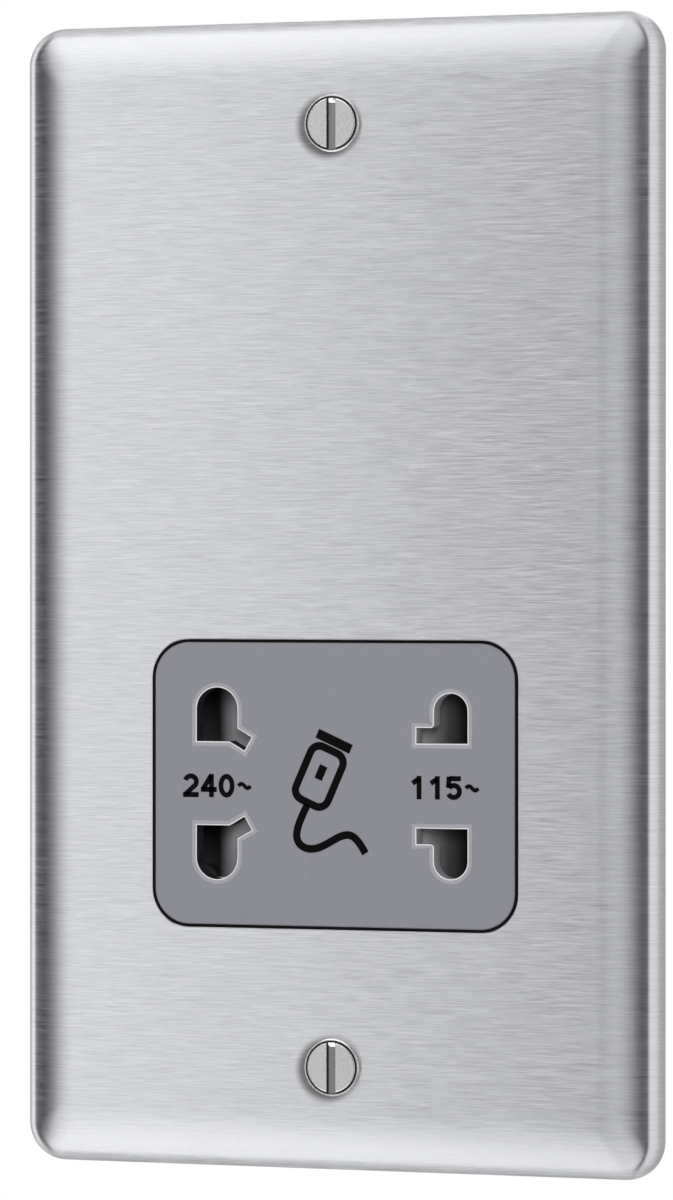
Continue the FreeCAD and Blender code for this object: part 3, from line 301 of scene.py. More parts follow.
steel.inputs["Anisotropic Rotation"].default_value = 0.25
along = nodes.new("ShaderNodeTangent")
along.direction_type = "UV_MAP"
along.uv_map = "brushing"
links.new(along.outputs["Tangent"], steel.inputs["Tangent"])
# Painted shadow: the steel's colour is darkened beside each fixing head, where the head shades it.
gaps = []
for side in (-1, 1):
    gap = nodes.new("ShaderNodeVectorMath")
    gap.operation = "DISTANCE"
    gap.inputs[1].default_value = (screw_shadow_place[0], plate_face, side * fixing_z + screw_shadow_place[1])
    links.new(nodes["Texture Coordinate"].outputs["Object"], gap.inputs[0])
    gaps.append(gap)
nearest = nodes.new("ShaderNodeMath")
nearest.operation = "MINIMUM"
links.new(gaps[0].outputs["Value"], nearest.inputs[0])
links.new(gaps[1].outputs["Value"], nearest.inputs[1])
screw_shadow = nodes.new("ShaderNodeMapRange")
screw_shadow.interpolation_type = "SMOOTHSTEP"
screw_shadow.inputs["From Min"].default_value = screw_shadow_radius
screw_shadow.inputs["From Max"].default_value = screw_shadow_radius + screw_shadow_fade
screw_shadow.inputs["To Min"].default_value = screw_shadow_depth
links.new(nearest.outputs[0], screw_shadow.inputs["Value"])
darken(plate_steel, screw_shadow.outputs["Result"])
plate = piece_from(bm, "plate", [plate_steel])
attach(plate, "unit")
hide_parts("front_plate")

# Fixing screws: two bright-plated steel screws, turned with a raised flat head on a rounded shoulder.
# A groove, painted dark as shade, is turned round the flat, a driver slot with painted shade cut across it,
# and a thread rolled up to the neck.
fixing_top = fixing_low.y
fixing_end = fixing_high.y
thread_radius = 1.75 * MM
thread_depth = 0.25 * MM
thread_pitch = 0.6 * MM
neck_radius = 1.5 * MM
neck_length = 2.0 * MM
neck_end = plate_face + neck_length
slot_half = 0.6 * MM
slot_depth = 0.5 * MM
slot_corner = 0.14 * MM    # painted shade along each side of the slot's floor
slot_run_out = 0.7 * MM    # where the cutter left the slot, at its upper end
run_out_floor = 0.3        # depth left at the end of the run-out, as a share
slot_share = 0.9           # slot's length as a share of the head
edge_ease = 0.05 * MM      # rounding of the edges on the head
ease_angle = 40            # degrees from which an edge is rounded
flat_face = 0.999          # a face turned this squarely to the driver is a flat
screw_crease = 28.0        # degrees from which an edge of a screw stays sharp
screw_steps = 64


def cut_slot(piece, width, depth, top, length, places, corner=0.0, run_out=0.0):
    """Cuts a driver slot into each screw head, if asked with painted shade on its walls, corners and floor
    and a run-out at its upper end.
    """
    bm = bmesh.new()
    section = [(-width, -depth), (width, -depth), (width, depth), (-width, depth)]
    shades = [0, 0, 0, 0]   # which of the screw's finishes each side of the cutter leaves
    ends = [(-length / 2, depth), (length / 2, depth)]
    if run_out:
        section[3:3] = [(width - corner, depth), (corner - width, depth)]
        shades = [0, 1, 1, 2, 1, 1]
        ends[1:] = [(length / 2 - run_out, depth), (length / 2, run_out_floor * depth)]
    for x, z in places:
        rows = []
        for along, floor in ends:
            rows.append([bm.verts.new((x + u, top + min(v, floor), z + along)) for u, v in section])
        for step, (first, second) in enumerate(zip(rows, rows[1:])):
            for i in range(len(section)):
                j = (i + 1) % len(section)
                face = bm.faces.new((first[i], first[j], second[j], second[i]))
                face.material_index = 0 if step == 1 and shades[i] == 2 else shades[i]
        bm.faces.new(rows[0])
        bm.faces.new(rows[-1])
    cutter = piece_from(bm, piece.name + "_cutter", [])
    cut = piece.modifiers.new("slot", "BOOLEAN")
    cut.object = cutter
    cut.solver = "EXACT"
    ease = piece.modifiers.new("ease", "BEVEL")
    ease.width = edge_ease
    ease.segments = 2
    ease.limit_method = "ANGLE"
    ease.angle_limit = math.radians(ease_angle)
    settled = bpy.data.meshes.new_from_object(piece.evaluated_get(bpy.context.evaluated_depsgraph_get()))
    piece.modifiers.clear()
    piece.data = settled
    settled.shade_smooth()
    settled.set_sharp_from_angle(angle=math.radians(crease_angle))
    for face in settled.polygons:
        face.use_smooth = abs(face.normal.y) < flat_face
    bpy.data.objects.remove(cutter)


head_rise = plate_face - fixing_top
head_profile = [(1.000, 0.0), (1.000, 0.55), (0.985, 0.70), (0.965, 0.75), (0.935, 0.75), (0.925, 0.45),
                (0.870, 0.45), (0.865, 0.92), (0.850, 0.98), (0.830, 1.00)]
groove_bands = (2, 3, 4)   # bands of the profile inside the groove, counted from the top
screw_profile = [(fixing_head * r, plate_face - head_rise * h) for r, h in reversed(head_profile)]
screw_profile += [(neck_radius, plate_face), (neck_radius, neck_end)]
thread_turns = int((fixing_end - neck_end) / thread_pitch)
for i in range(thread_turns):
    screw_profile.append((thread_radius - thread_depth, neck_end + i * thread_pitch))
    screw_profile.append((thread_radius, neck_end + (i + 0.5) * thread_pitch))
screw_profile.append((thread_radius - thread_depth, fixing_end))
bm = bmesh.new()
for side in (-1, 1):
    lathe(bm, screw_profile, 0.0, side * fixing_z, screw_steps, groove_bands)
screw_steel = finish("screw_steel", (0.82, 0.82, 0.815), roughness=0.3, metallic=1.0, grain=3500.0,
                     tone=0.08, gloss=0.1, bump=0.25)
# Painted shade: the groove and the slot's walls and corners take a near-black finish, the slot's floor a
# dark grey one.
groove_and_slot_shade = finish("groove_and_slot_shade", (0.02, 0.02, 0.022), roughness=0.6, grain=3500.0,
                        tone=0.2, gloss=0.1, bump=0.2)
slot_floor_shade = finish("slot_floor_shade", (0.26, 0.26, 0.265), roughness=0.5, metallic=0.4, grain=3500.0,
                    tone=0.15, gloss=0.1, bump=0.25)
fixings = piece_from(bm, "fixings", [screw_steel, groove_and_slot_shade, slot_floor_shade], screw_crease)
slot_places = [(0.0, -fixing_z), (0.0, fixing_z)]
cut_slot(fixings, slot_half, slot_depth, fixing_top, 2 * fixing_head * slot_share, slot_places,
         slot_corner, slot_run_out)
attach(fixings, "unit")
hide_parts("fixing_screws")

# Socket insert: a satin grey moulding with a flange behind the plate and four pin apertures, their rims
# given painted highlight.
# Besides round pins the left pair take slanted blades, between walls painted dark as shade, and the right
# pair level ones, between walls painted lighter as light.
insert_low, insert_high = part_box("socket_insert")
insert_face = insert_low.y
seal_width = 0.37 * MM
insert_half_x = seal_high.x - seal_width
insert_half_z = (seal_high.z - seal_low.z) / 2 - seal_width
insert_corner = 4.6 * MM
insert_edge = 0.15 * MM
flange_grow = insert_high.x - insert_half_x
aperture_x = 15.8 * MM
pin_flat = 5.4 * MM
left_half = 2.8 * MM
right_half = 2.25 * MM
arc_centre = 9.55 * MM
blade_half = 1.0 * MM
left_tip = (4.25 * MM, 5.1 * MM)
left_slant = math.radians(30)
right_reach = 4.6 * MM
blade_corner = 0.3 * blade_half   # easing where a level blade meets its pin
rim_width = 0.6 * MM
rim_drop = 0.05 * MM       # how far the rim slopes in
lip_width = 0.13 * MM
lip_drop = 0.07 * MM
pin_steps = 20             # lengths round the end of an aperture
sharpest_rim = 0.3         # holds the mitres back at sharp corners
rim_highlight_slot, lip_highlight_slot, mouth_shade_slot, wall_light_slot = 1, 2, 3, 4   # after the face, in the insert's finishes
face_grain = 1500.0


def round_top(half):
    """The round end of an aperture, from its right side to its left."""
    turns = [math.pi * i / pin_steps for i in range(pin_steps + 1)]
    return [(half * math.cos(t), arc_centre + half * math.sin(t)) for t in turns]


def aperture(side, up):
    """The outline of one pin aperture, in the insert's place."""
    if side < 0:
        along = (math.cos(left_slant), -math.sin(left_slant))
        across = (math.sin(left_slant), math.cos(left_slant))
        lower = (left_tip[0] - blade_half * across[0], left_tip[1] - blade_half * across[1])
        upper = (left_tip[0] + blade_half * across[0], left_tip[1] + blade_half * across[1])
        back = (lower[1] - pin_flat) / along[1]
        side_step = (upper[0] - left_half) / along[0]
        points = [(-left_half, pin_flat), (lower[0] - along[0] * back, pin_flat), lower, upper,
                  (left_half, upper[1] - along[1] * side_step)] + round_top(left_half)
    else:
        points = [(-right_reach, pin_flat), (right_half, pin_flat)] + round_top(right_half)
        blade_top = pin_flat + 2 * blade_half
        points += [(-right_half, blade_top + blade_corner), (-right_half - blade_corner, blade_top),
                   (-right_reach, blade_top)]
    if up < 0:
        points = [(x, -z) for x, z in reversed(points)]
    return [(side * aperture_x + x, insert_z + z) for x, z in points]


def grown(points, distance):
    """A closed outline moved outwards by a distance, mitred at its corners."""
    moved = []
    for before, here, after in zip(points[-1:] + points[:-1], points, points[1:] + points[:1]):
        first = Vector((here[0] - before[0], here[1] - before[1])).normalized()
        second = Vector((after[0] - here[0], after[1] - here[1])).normalized()
        normal = Vector((first.y + second.y, -first.x - second.x)).normalized()
        reach = distance / max(normal.dot(Vector((second.y, -second.x))), sharpest_rim)
        moved.append((here[0] + normal.x * reach, here[1] + normal.y * reach))
    return moved


def insert_outline(grow):
    """The insert's outline, let out by a distance."""
    half_x = insert_half_x + grow
    half_z = insert_half_z + grow
    return rounded_rectangle(half_x, half_z, insert_corner + grow, insert_z, straight=8)


bm = bmesh.new()
flange_front = plate_face + sheet
side_rows = [(-insert_edge, insert_face), (0.0, insert_face + insert_edge), (0.0, flange_front),
             (flange_grow, flange_front), (flange_grow, insert_high.y)]
rows = [loop(bm, insert_outline(grow), y) for grow, y in side_rows]
for first, second in zip(rows, rows[1:]):
    band(bm, first, second)
rims = []
mouths = []
for side in (-1, 1):
    for up in (-1, 1):
        hole = aperture(side, up)
        rim_row = loop(bm, grown(hole, rim_width), insert_face)
        slope = loop(bm, grown(hole, lip_width), insert_face + rim_drop)
        lip = loop(bm, hole, insert_face + lip_drop)
        mouth = loop(bm, hole, insert_high.y)
        band(bm, rim_row, slope, rim_highlight_slot)
        band(bm, slope, lip, lip_highlight_slot)
        band(bm, lip, mouth, mouth_shade_slot if side < 0 else wall_light_slot)
        rims.append(rim_row)
        mouths.append(mouth)
fill(bm, rows[0], *rims)
fill(bm, rows[-1], *mouths)
insert_plastic = finish("insert_plastic", (0.236, 0.237, 0.268), roughness=0.42, grain=face_grain,
                        tone=0.03, gloss=0.05, bump=0.06)
# All of one moulding: the rim's slope and lip are painted highlight, the left walls painted shade and the
# right walls painted light.
rim_painted_highlight = finish("rim_painted_highlight", (0.33, 0.333, 0.36), roughness=0.4, grain=face_grain,
                     tone=0.03, gloss=0.05, bump=0.05)
lip_painted_highlight = finish("lip_painted_highlight", (0.72, 0.73, 0.75), roughness=0.35, grain=face_grain,
                     tone=0.03, gloss=0.05, bump=0.05)
mouth_painted_shade = finish("mouth_painted_shade", (0.012, 0.013, 0.015), roughness=0.5, grain=face_grain,
                       tone=0.1, gloss=0.05, bump=0.05, specular=0.1)
wall_painted_light = finish("wall_painted_light", (0.36, 0.363, 0.38), roughness=0.5, grain=face_grain,
                      tone=0.05, gloss=0.05, bump=0.05, specular=0.1)
insert = piece_from(bm, "insert", [insert_plastic, rim_painted_highlight, lip_painted_highlight, mouth_painted_shade, wall_painted_light])
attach(insert, "unit")
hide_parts("socket_insert")


# Insert seal: a thin black rubber cord pressed into the gap between insert and plate.
# It fills the gap to just below the plate's face.
def dress(material, *nodes):
    """Gives a finish to CAD nodes that keep their own shape."""
    for node in nodes:
        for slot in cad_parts[node].material_slots:
            slot.material = material


seal_rubber = finish("seal_rubber", (0.003, 0.003, 0.004), roughness=0.55, grain=2500.0,
                     tone=0.2, gloss=0.08, bump=0.1, specular=0.1)
dress(seal_rubber, "insert_seal")

# Print: matt black ink, screen-printed on the insert. Plain numbers stand beside the two pairs of apertures,
# and between them a plain line sign of a shaver on its lead.
ink_thick = 0.012 * MM
ink_y = insert_face - ink_thick
figure_height = 3.05 * MM
figure_width = 2.2 * MM
figure_step = 2.45 * MM
figure_stroke = 0.66 * MM
wave_weight = 0.8          # the wave sign's stroke, as a share of the others
left_figures_at = (-15.7 * MM, -24.5 * MM)
right_figures_at = (15.0 * MM, -24.4 * MM)
sign_stroke = 1.0 * MM
sharpest_line = 0.4        # holds the mitres back at sharp turns
ink = finish("ink", (0.003, 0.003, 0.0035), roughness=0.5, grain=3000.0,
             tone=0.2, gloss=0.06, bump=0.08, specular=0.05)


def line(bm, points, width, closed=False):
    """A printed line of even width through points, mitred at its turns."""
    ends = points[-1:] + points + points[:1] if closed else points[:1] + points + points[-1:]
    left = []
    right = []
    for before, here, after in zip(ends, ends[1:], ends[2:]):
        first = Vector((here[0] - before[0], here[1] - before[1])).normalized()
        second = Vector((after[0] - here[0], after[1] - here[1])).normalized()
        normal = Vector((-first.y - second.y, first.x + second.x)).normalized()
        sure = second if second.length > 0 else first
        reach = width / 2 / max(normal.dot(Vector((-sure.y, sure.x))), sharpest_line)
        left.append(bm.verts.new((here[0] + normal.x * reach, ink_y, here[1] + normal.y * reach)))
        right.append(bm.verts.new((here[0] - normal.x * reach, ink_y, here[1] - normal.y * reach)))
    count = len(points) if closed else len(points) - 1
    for i in range(count):
        j = (i + 1) % len(points)
        bm.faces.new((left[i], left[j], right[j], right[i]))


def bow(x, z, radius_x, radius_z, start, end, steps=16):
    """Points along part of an ellipse, between two angles in degrees."""
    turns = [math.radians(start + (end - start) * i / steps) for i in range(steps + 1)]
    return [(x + radius_x * math.cos(t), z + radius_z * math.sin(t)) for t in turns]


def figure_strokes(sign):
    """Middle lines of the strokes of one figure, on a box from -1 to 1 both ways."""
    if sign == "0":
        return [bow(0, 0, 1, 1, 0, 348, 29)]
    if sign == "1":
        return [[(0.35, -1.25), (0.35, 1.25)], [(0.35, 0.95), (-0.8, 0.45)]]
    if sign == "2":
        return [bow(0, 0.4, 1, 0.6, 165, -38) + [(-0.95, -0.95)], [(-1.4, -1), (1.4, -1)]]
    if sign == "4":
        return [[(0.5, -1.25), (0.5, 1.25)], [(0.4, 1.05), (-1.05, -0.42)], [(-1.4, -0.42), (1.45, -0.42)]]
    if sign == "5":
        return [[(-0.75, 1), (1.25, 1)], [(-0.78, 1.2), (-0.95, 0.0)], bow(0, -0.36, 1, 0.64, 145, -155)]
    return [[(-1.1 + 0.1 * i, 0.22 * math.sin(math.pi * i / 11)) for i in range(23)]]


def figures(name, text, x, z):
    """A row of printed figures, centred at a place on the insert."""
    bm = bmesh.new()
    reach_x = (figure_width - figure_stroke) / 2
    reach_z = (figure_height - figure_stroke) / 2
    for i, sign in enumerate(text):
        middle = x + (i - (len(text) - 1) / 2) * figure_step
        weight = wave_weight if sign == "~" else 1.0
        for stroke in figure_strokes(sign):
            points = [(middle + u * reach_x, z + v * reach_z) for u, v in stroke]
            line(bm, points, weight * figure_stroke, sign == "0")
    piece = piece_from(bm, name, [ink])
    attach(piece, "unit")


figures("left_figures", "240~", *left_figures_at)
figures("right_figures", "115~", *right_figures_at)
sign_tilt = math.radians(24)
sign_x = -1.6 * MM
sign_z = -22.6 * MM
body_half = (2.35, 3.7)    # the sign's own sizes, from here on, are in millimetres
body_corner = 1.3
body_middle = -0.6
head_half = 2.5
head_level = 4.35
head_stroke = 1.25
switch_top = 0.9
switch_foot = -1.0
switch_stroke = 1.1
lead_top = -4.6


def on_sign(x, z):
    """The place on the insert of a point of the upright sign, given in millimetres."""
    return (sign_x + (x * math.cos(sign_tilt) + z * math.sin(sign_tilt)) * MM,
            sign_z + (z * math.cos(sign_tilt) - x * math.sin(sign_tilt)) * MM)


bm = bmesh.new()
body = rounded_rectangle(*body_half, body_corner, body_middle, arc=6, straight=2)
line(bm, [on_sign(x, z) for x, z in body], sign_stroke, True)
line(bm, [on_sign(-head_half, head_level), on_sign(head_half, head_level)], head_stroke * MM)
line(bm, [on_sign(0.0, switch_top), on_sign(0.0, switch_foot)], switch_stroke * MM)
lead_x, lead_z = on_sign(0.0, lead_top)
lead = [(lead_x / MM, lead_z / MM), (-4.6, -29.0), (-5.2, -30.9), (-4.3, -32.3), (-2.5, -32.6),
        (-0.6, -31.7), (1.4, -30.4), (3.1, -30.5), (4.4, -32.9)]
route = bpy.data.curves.new("sign_lead", "CURVE")
spline = route.splines.new("NURBS")
spline.points.add(len(lead) - 1)
for point, (x, z) in zip(spline.points, lead):
    point.co = (x * MM, z * MM, 0.0, 1.0)
spline.order_u = 4
spline.use_endpoint_u = True
spline.resolution_u = 8
carrier = bpy.data.objects.new("sign_lead", route)
bpy.context.scene.collection.objects.link(carrier)
drawn = bpy.data.meshes.new_from_object(carrier.evaluated_get(bpy.context.evaluated_depsgraph_get()))
bpy.data.objects.remove(carrier)
line(bm, [(v.co.x, v.co.y) for v in drawn.vertices], sign_stroke)
sign = piece_from(bm, "shaver_sign", [ink])
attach(sign, "unit")

# Shutter: one sliding moulding of smooth grey plastic, whose ramps close the apertures until two pins push
# it aside. Its colour is painted with light and shade, pale on its ridge and darkening towards its ramps'
# ends. A steel spring at each end brings it back to the middle.
slide_low, slide_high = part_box("shutter_slide")
# Painted shade along the slide: the tone at each place across it darkens the pale plastic towards the ramps'
# ends.
ramp_painted_shades = ((-19.2, 0.02), (-18.4, 0.24), (-17.5, 0.6), (-16.6, 0.96), (-9.6, 1.0), (9.6, 0.85),
               (11.8, 0.32), (13.4, 0.1), (15.2, 0.03))   # place across the slide in millimetres, and tone
shutter_plastic = finish("shutter_plastic", (0.72, 0.726, 0.75), roughness=0.4, grain=700.0,
                         tone=0.04, gloss=0.06, bump=0.05, specular=0.2)
nodes = shutter_plastic.node_tree.nodes
links = shutter_plastic.node_tree.links
axes = nodes.new("ShaderNodeSeparateXYZ")
links.new(nodes["Texture Coordinate"].outputs["Object"], axes.inputs[0])
across = nodes.new("ShaderNodeMapRange")
across.inputs["From Min"].default_value = slide_low.x
across.inputs["From Max"].default_value = slide_high.x
links.new(axes.outputs["X"], across.inputs["Value"])
shade = nodes.new("ShaderNodeValToRGB")
stops = shade.color_ramp.elements
while len(stops) < len(ramp_painted_shades):
    stops.new(1.0)
for stop, (x, level) in zip(stops, ramp_painted_shades):
    stop.position = (x * MM - slide_low.x) / (slide_high.x - slide_low.x)
    stop.color = (level, level, level, 1.0)
links.new(across.outputs["Result"], shade.inputs["Fac"])
darken(shutter_plastic, shade.outputs["Color"])
dress(shutter_plastic, "shutter_slide")
spring_wire = 0.25 * MM    # radius of the wire
spring_turns = 5
turn_steps = 36
wire_steps = 10
spring_steel = finish("spring_steel", (0.55, 0.55, 0.56), roughness=0.3, metallic=1.0, grain=2600.0,
                      tone=0.08, gloss=0.08, bump=0.1)


def return_spring(name, node):
    """A coil of round wire between the frame's stop and the slide's pocket."""
    low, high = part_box(node)
    middle = (low + high) / 2
    coil = (high.z - low.z) / 2 - spring_wire
    length = high.x - low.x - 2 * spring_wire
    rise = length / (2 * math.pi * spring_turns)
    steps = spring_turns * turn_steps
    bm = bmesh.new()
    rings = []
    for i in range(steps + 1):
        turn = 2 * math.pi * i / turn_steps
        outward = Vector((0.0, math.cos(turn), math.sin(turn)))
        along = Vector((rise, -coil * math.sin(turn), coil * math.cos(turn))).normalized()
        beside = along.cross(outward)
        centre = Vector((low.x + spring_wire + length * i / steps, middle.y, middle.z)) + coil * outward
        section = circle(spring_wire, steps=wire_steps)
        rings.append([bm.verts.new(centre + u * outward + v * beside) for u, v in section])
    for first, second in zip(rings, rings[1:]):
        band(bm, first, second)
    bm.faces.new(rings[0])
    bm.faces.new(rings[-1])
    spring = piece_from(bm, name, [spring_steel])
    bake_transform(spring)
    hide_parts(node)


return_spring("left_return_spring", "left_spring")
return_spring("right_return_spring", "right_spring")

# Contacts: brass strip, stamped and folded into jaws, leaves and links, with faint rolling lines.
# They are riveted or pressed into the mouldings that carry them.
dress(finish("contact_brass", (0.72, 0.56, 0.28), roughness=0.3, metallic=1.0, grain=1800.0,
             stretch=(0.1, 1.0, 1.0), tone=0.07, gloss=0.08, bump=0.08),
      "bridge_contact", "common_contact", "left_contact", "right_contact", "live_leaf", "load_leaf",
      "bobbin_pins", "live_link", "neutral_link", "earth_strap")
dress(finish("cutout_metal", (0.55, 0.50, 0.38), roughness=0.35, metallic=0.6, grain=1200.0,
             tone=0.06, gloss=0.08, bump=0.06),
      "thermal_cutout")

# Transformer: varnished steel laminations held by a steel strap, round a nylon bobbin with two windings of
# enamelled copper. The lamination edges show as fine lines along the stack, the turns as lines round it.
dress(finish("core_steel", (0.20, 0.20, 0.215), roughness=0.42, metallic=0.8, grain=2000.0,
             stretch=(0.03, 1.0, 0.03), tone=0.3, gloss=0.1, bump=0.3),
      "core_e", "core_i")
dress(finish("winding_copper", (0.60, 0.30, 0.14), roughness=0.3, metallic=0.9, grain=2200.0,
             stretch=(0.03, 0.03, 1.0), tone=0.2, gloss=0.08, bump=0.4),
      "primary_winding", "secondary_winding")
dress(finish("bobbin_plastic", (0.75, 0.73, 0.66), roughness=0.4, grain=500.0,
             tone=0.05, gloss=0.08, bump=0.05),
      "bobbin")
dress(finish("lead_brown", (0.20, 0.08, 0.03), roughness=0.32, tone=0.08, gloss=0.06, bump=0.04),
      "live_lead")
dress(finish("lead_blue", (0.03, 0.12, 0.42), roughness=0.32, tone=0.08, gloss=0.06, bump=0.04),
      "neutral_lead")

# Housing: carrier frame, contact base and rear cover, moulded in dark grey plastic with a fine spark-eroded
# grain. The cover is vented behind the transformer and screwed to the frame through four ears.
dress(finish("moulding", (0.10, 0.10, 0.108), roughness=0.5, grain=2600.0,
             tone=0.12, gloss=0.08, bump=0.25),
      "carrier_frame", "contact_base", "rear_cover")

# Small hardware: zinc-plated screws, nuts and strap. Each screw has a bevelled head with a driver slot
# and goes in from behind.
cover_head = 2.7 * MM      # radius
cover_shank = 1.45 * MM
cover_rise = 1.7 * MM
cover_slot = 0.8 * MM
rear_bevel = ((1.0, 0.55), (0.93, 0.85), (0.8, 1.0))   # shares of a head's radius and of its rise
rear_slot_depth = 0.45     # as a share of the head's rise
rear_steps = 40
zinc = finish("hardware_steel", (0.62, 0.62, 0.60), roughness=0.34, metallic=1.0, grain=1500.0,
              tone=0.12, gloss=0.1, bump=0.12)
dress(zinc, "stud_nuts", "core_strap")


def rear_screws(name, node, head, shank, rise, slot, places):
    """Slotted screws driven from behind, in the place of a CAD group."""
    low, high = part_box(node)
    seat = high.y - rise
    profile = [(shank, low.y), (shank, seat), (head, seat)]
    profile += [(head * r, seat + rise * h) for r, h in rear_bevel]
    bm = bmesh.new()
    for x, z in places:
        lathe(bm, profile, x, z, rear_steps)
    screws = piece_from(bm, name, [zinc], screw_crease)
    right_across = 4 * head
    cut_slot(screws, slot / 2, rear_slot_depth * rise, high.y, right_across, places)
    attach(screws, "unit")
    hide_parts(node)


ear_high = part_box("cover_screws")[1]
ear_x = ear_high.x - cover_head
ear_z = ear_high.z - cover_head
rear_screws("ear_screws", "cover_screws", cover_head, cover_shank, cover_rise, cover_slot,
            [(a * ear_x, b * ear_z) for a in (-1, 1) for b in (-1, 1)])

# Terminals: three drilled brass pillars in a pale grey block on the shallow part of the cover.
# Each takes a supply conductor from below, clamped by a screw from behind.
clamp_head = 2.4 * MM      # radius
clamp_shank = 1.5 * MM
clamp_rise = 1.2 * MM
clamp_slot = 0.9 * MM
dress(finish("block_plastic", (0.62, 0.62, 0.60), roughness=0.45, grain=2200.0,
             tone=0.05, gloss=0.08, bump=0.15),
      "terminal_block")
dress(finish("terminal_brass", (0.74, 0.58, 0.28), roughness=0.28, metallic=1.0, grain=1600.0,
             stretch=(1.0, 1.0, 0.08), tone=0.07, gloss=0.08, bump=0.08),
      "live_terminal", "earth_terminal", "neutral_terminal")
block_low, block_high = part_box("block_screws")
block_x = block_high.x - cover_head
block_z = (block_low.z + block_high.z) / 2
rear_screws("block_fixings", "block_screws", cover_head, cover_shank, cover_rise, cover_slot,
            [(a * block_x, block_z) for a in (-1, 1)])
clamp_low, clamp_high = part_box("terminal_screws")
clamp_pitch = clamp_high.x - clamp_head
clamp_z = (clamp_low.z + clamp_high.z) / 2
rear_screws("clamp_screws", "terminal_screws", clamp_head, clamp_shank, clamp_rise, clamp_slot,
            [(a * clamp_pitch, clamp_z) for a in (-1, 0, 1)])

# Studio: a pale floor and a white surround, with soft lamps above, below, in front and behind.
# A tall screen of grey card round it, light and dark by turns, gives the steel something to reflect.
floor_z = -0.14
floor_radius = 6.0
floor_tone = 0.86
floor_clear = 0.25         # radius of the floor that stays plain
floor_fade = 0.55
ambient_light = 0.42
surround_radius = 0.9
surround_height = 2.4
surround = ((-175, 0.45), (-115, 0.6), (-100, 1.2), (-84, 1.2), (-77, 0.85), (-70, 0.05), (-58, 0.0),
            (-53, 0.2), (-45, 0.55), (-36, 0.82), (-28, 0.98), (-23, 0.92), (-18.5, 0.57), (-14, 0.31),
            (-9, 0.33), (-3, 0.5), (5, 0.5), (10, 0.42), (15, 0.26), (20, 0.04), (31, 0.02), (37, 0.3),
            (45, 0.95), (62, 1.0), (85, 0.95), (110, 0.6), (138, 0.52), (175, 0.45))   # degrees, and tone


def white_rays(nodes, links):
    """One for rays that show the white background itself: from the camera, mirrored or through glass."""
    path = nodes.new("ShaderNodeLightPath")
    seen = nodes.new("ShaderNodeMath")
    seen.operation = "MAXIMUM"
    links.new(path.outputs["Is Camera Ray"], seen.inputs[0])
    links.new(path.outputs["Is Glossy Ray"], seen.inputs[1])
    either = nodes.new("ShaderNodeMath")
    either.operation = "MAXIMUM"
    links.new(seen.outputs[0], either.inputs[0])
    links.new(path.outputs["Is Transmission Ray"], either.inputs[1])
    return either.outputs[0]


world = bpy.data.worlds.new("studio")
bpy.context.scene.world = world
world.use_nodes = True
nodes = world.node_tree.nodes
links = world.node_tree.links
ambient = nodes["Background"]
ambient.inputs["Color"].default_value = (1.0, 1.0, 1.0, 1.0)
ambient.inputs["Strength"].default_value = ambient_light
white = nodes.new("ShaderNodeBackground")
white.inputs["Color"].default_value = (1.0, 1.0, 1.0, 1.0)
choose = nodes.new("ShaderNodeMixShader")
links.new(white_rays(nodes, links), choose.inputs[0])
links.new(ambient.outputs[0], choose.inputs[1])
links.new(white.outputs[0], choose.inputs[2])
links.new(choose.outputs[0], nodes["World Output"].inputs["Surface"])

bm = bmesh.new()
fill(bm, loop(bm, circle(floor_radius), 0.0))
floor = piece_from(bm, "floor", [])
floor.rotation_euler = (math.radians(90), 0.0, 0.0)
floor.location = (0.0, 0.0, floor_z)
floor.visible_glossy = False
pale = bpy.data.materials.new("pale_floor")
pale.use_nodes = True
nodes = pale.node_tree.nodes
links = pale.node_tree.links
matt = nodes["Principled BSDF"]
matt.inputs["Base Color"].default_value = (floor_tone, floor_tone, floor_tone, 1.0)
matt.inputs["Roughness"].default_value = 0.9
glow = nodes.new("ShaderNodeEmission")
place = nodes.new("ShaderNodeTexCoord")
radius = nodes.new("ShaderNodeVectorMath")
radius.operation = "LENGTH"
links.new(place.outputs["Object"], radius.inputs[0])
fade = nodes.new("ShaderNodeMapRange")
fade.interpolation_type = "SMOOTHSTEP"
fade.inputs["From Min"].default_value = floor_clear
fade.inputs["From Max"].default_value = floor_fade
links.new(radius.outputs["Value"], fade.inputs["Value"])
share = nodes.new("ShaderNodeMath")
share.operation = "MULTIPLY"
links.new(fade.outputs["Result"], share.inputs[0])
links.new(white_rays(nodes, links), share.inputs[1])
mix = nodes.new("ShaderNodeMixShader")
links.new(share.outputs[0], mix.inputs[0])
links.new(matt.outputs[0], mix.inputs[1])
links.new(glow.outputs[0], mix.inputs[2])
links.new(mix.outputs[0], nodes["Material Output"].inputs["Surface"])
floor.data.materials.append(pale)

bm = bmesh.new()
tone = bm.verts.layers.float_color.new("tone")
columns = []
for degrees, level in surround:
    turn = math.radians(degrees)
    pair = [bm.verts.new((surround_radius * math.sin(turn), -surround_radius * math.cos(turn), z))
            for z in (-surround_height, surround_height)]
    for vertex in pair:
        vertex[tone] = (level, level, level, 1.0)
    columns.append(pair)
for first, second in zip(columns, columns[1:]):
    bm.faces.new((first[0], second[0], second[1], first[1]))
card = bpy.data.materials.new("grey_card")
card.use_nodes = True
nodes = card.node_tree.nodes
glow = nodes.new("ShaderNodeEmission")
shade = nodes.new("ShaderNodeVertexColor")
shade.layer_name = "tone"
card.node_tree.links.new(shade.outputs["Color"], glow.inputs["Color"])
card.node_tree.links.new(glow.outputs[0], nodes["Material Output"].inputs["Surface"])
screen = piece_from(bm, "screen", [card])
screen.visible_camera = False
screen.visible_diffuse = False
screen.visible_transmission = False
screen.visible_shadow = False


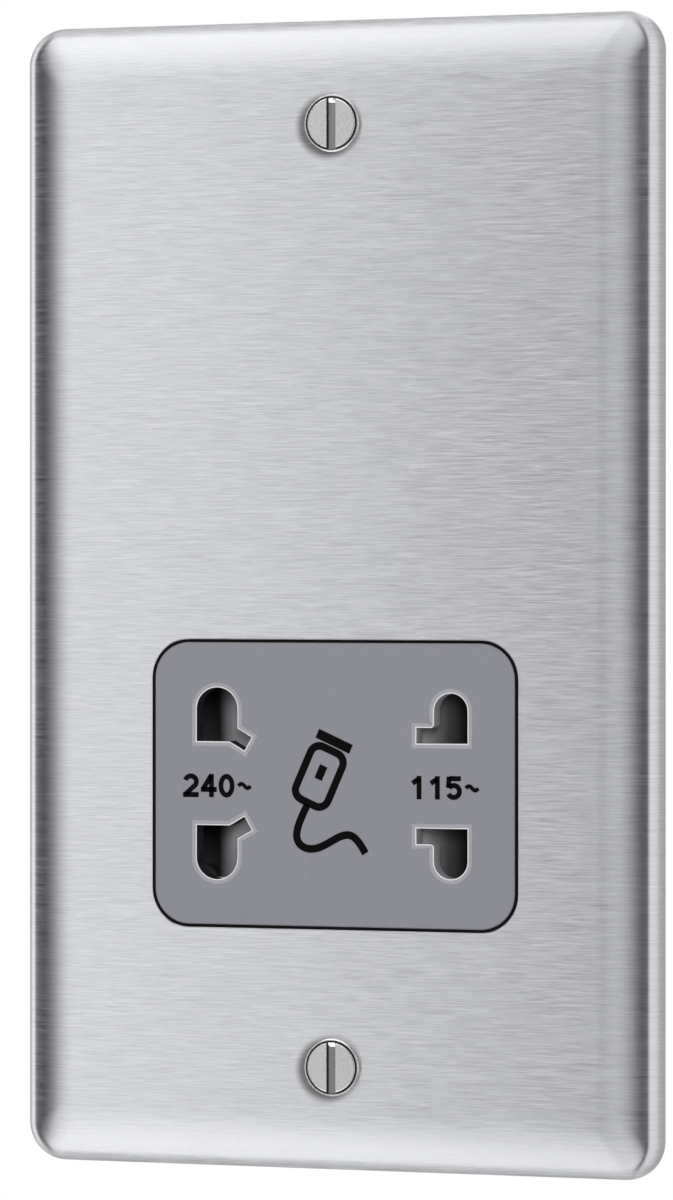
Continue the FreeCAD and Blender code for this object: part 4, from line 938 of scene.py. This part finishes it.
def lamp(name, power, width, height, azimuth, elevation, distance, in_metal):
    """A soft rectangular lamp of a power in watts, turned to the unit."""
    light = bpy.data.lights.new(name, "AREA")
    light.energy = power
    light.shape = "RECTANGLE"
    light.size = width
    light.size_y = height
    stand = bpy.data.objects.new(name, light)
    a = math.radians(azimuth)
    e = math.radians(elevation)
    away = Vector((math.sin(a) * math.cos(e), -math.cos(a) * math.cos(e), math.sin(e)))
    stand.location = distance * away
    stand.rotation_euler = (-away).to_track_quat("-Z", "Y").to_euler()
    stand.visible_glossy = in_metal
    bpy.context.scene.collection.objects.link(stand)


lamp("top_lamp", 1.5, width=0.9, height=0.24, azimuth=-14, elevation=47, distance=0.8, in_metal=True)
lamp("low_lamp", 1.3, width=0.9, height=0.24, azimuth=-14, elevation=-44, distance=0.8, in_metal=True)
lamp("key_lamp", 6.8, width=0.35, height=0.35, azimuth=20, elevation=10, distance=1.3, in_metal=False)
lamp("back_lamp", 4.0, width=0.9, height=0.7, azimuth=160, elevation=40, distance=1.3, in_metal=True)

# Camera: at the photograph's angle, a little to the right of the plate and level with it.
# Its frame is the photograph's, 673 by 1200.
photo_width = 673
photo_height = 1200
photo_scale = 7.827        # pixels to a millimetre at the plate's middle
photo_centre = (332.9, 595.5)
yaw = math.radians(19.14)
pitch = math.radians(0.393)
distance = 0.74
sensor = 36.0
aim = Vector((0.0, plate_face, 0.0))
camera_data = bpy.data.cameras.new("photo_camera")
camera_data.sensor_width = sensor
camera_data.lens = sensor * photo_scale * (distance / MM) / photo_height
camera_data.shift_x = (photo_width / 2 - photo_centre[0]) / photo_height
camera_data.shift_y = (photo_centre[1] - photo_height / 2) / photo_height
camera_data.clip_end = 20.0
camera = bpy.data.objects.new("photo_camera", camera_data)
out = Vector((math.sin(yaw) * math.cos(pitch), -math.cos(yaw) * math.cos(pitch), math.sin(pitch)))
camera.location = aim + distance * out
camera.rotation_euler = (-out).to_track_quat("-Z", "Y").to_euler()
bpy.context.scene.collection.objects.link(camera)
bpy.context.scene.camera = camera
bpy.context.scene.view_settings.view_transform = "Standard"
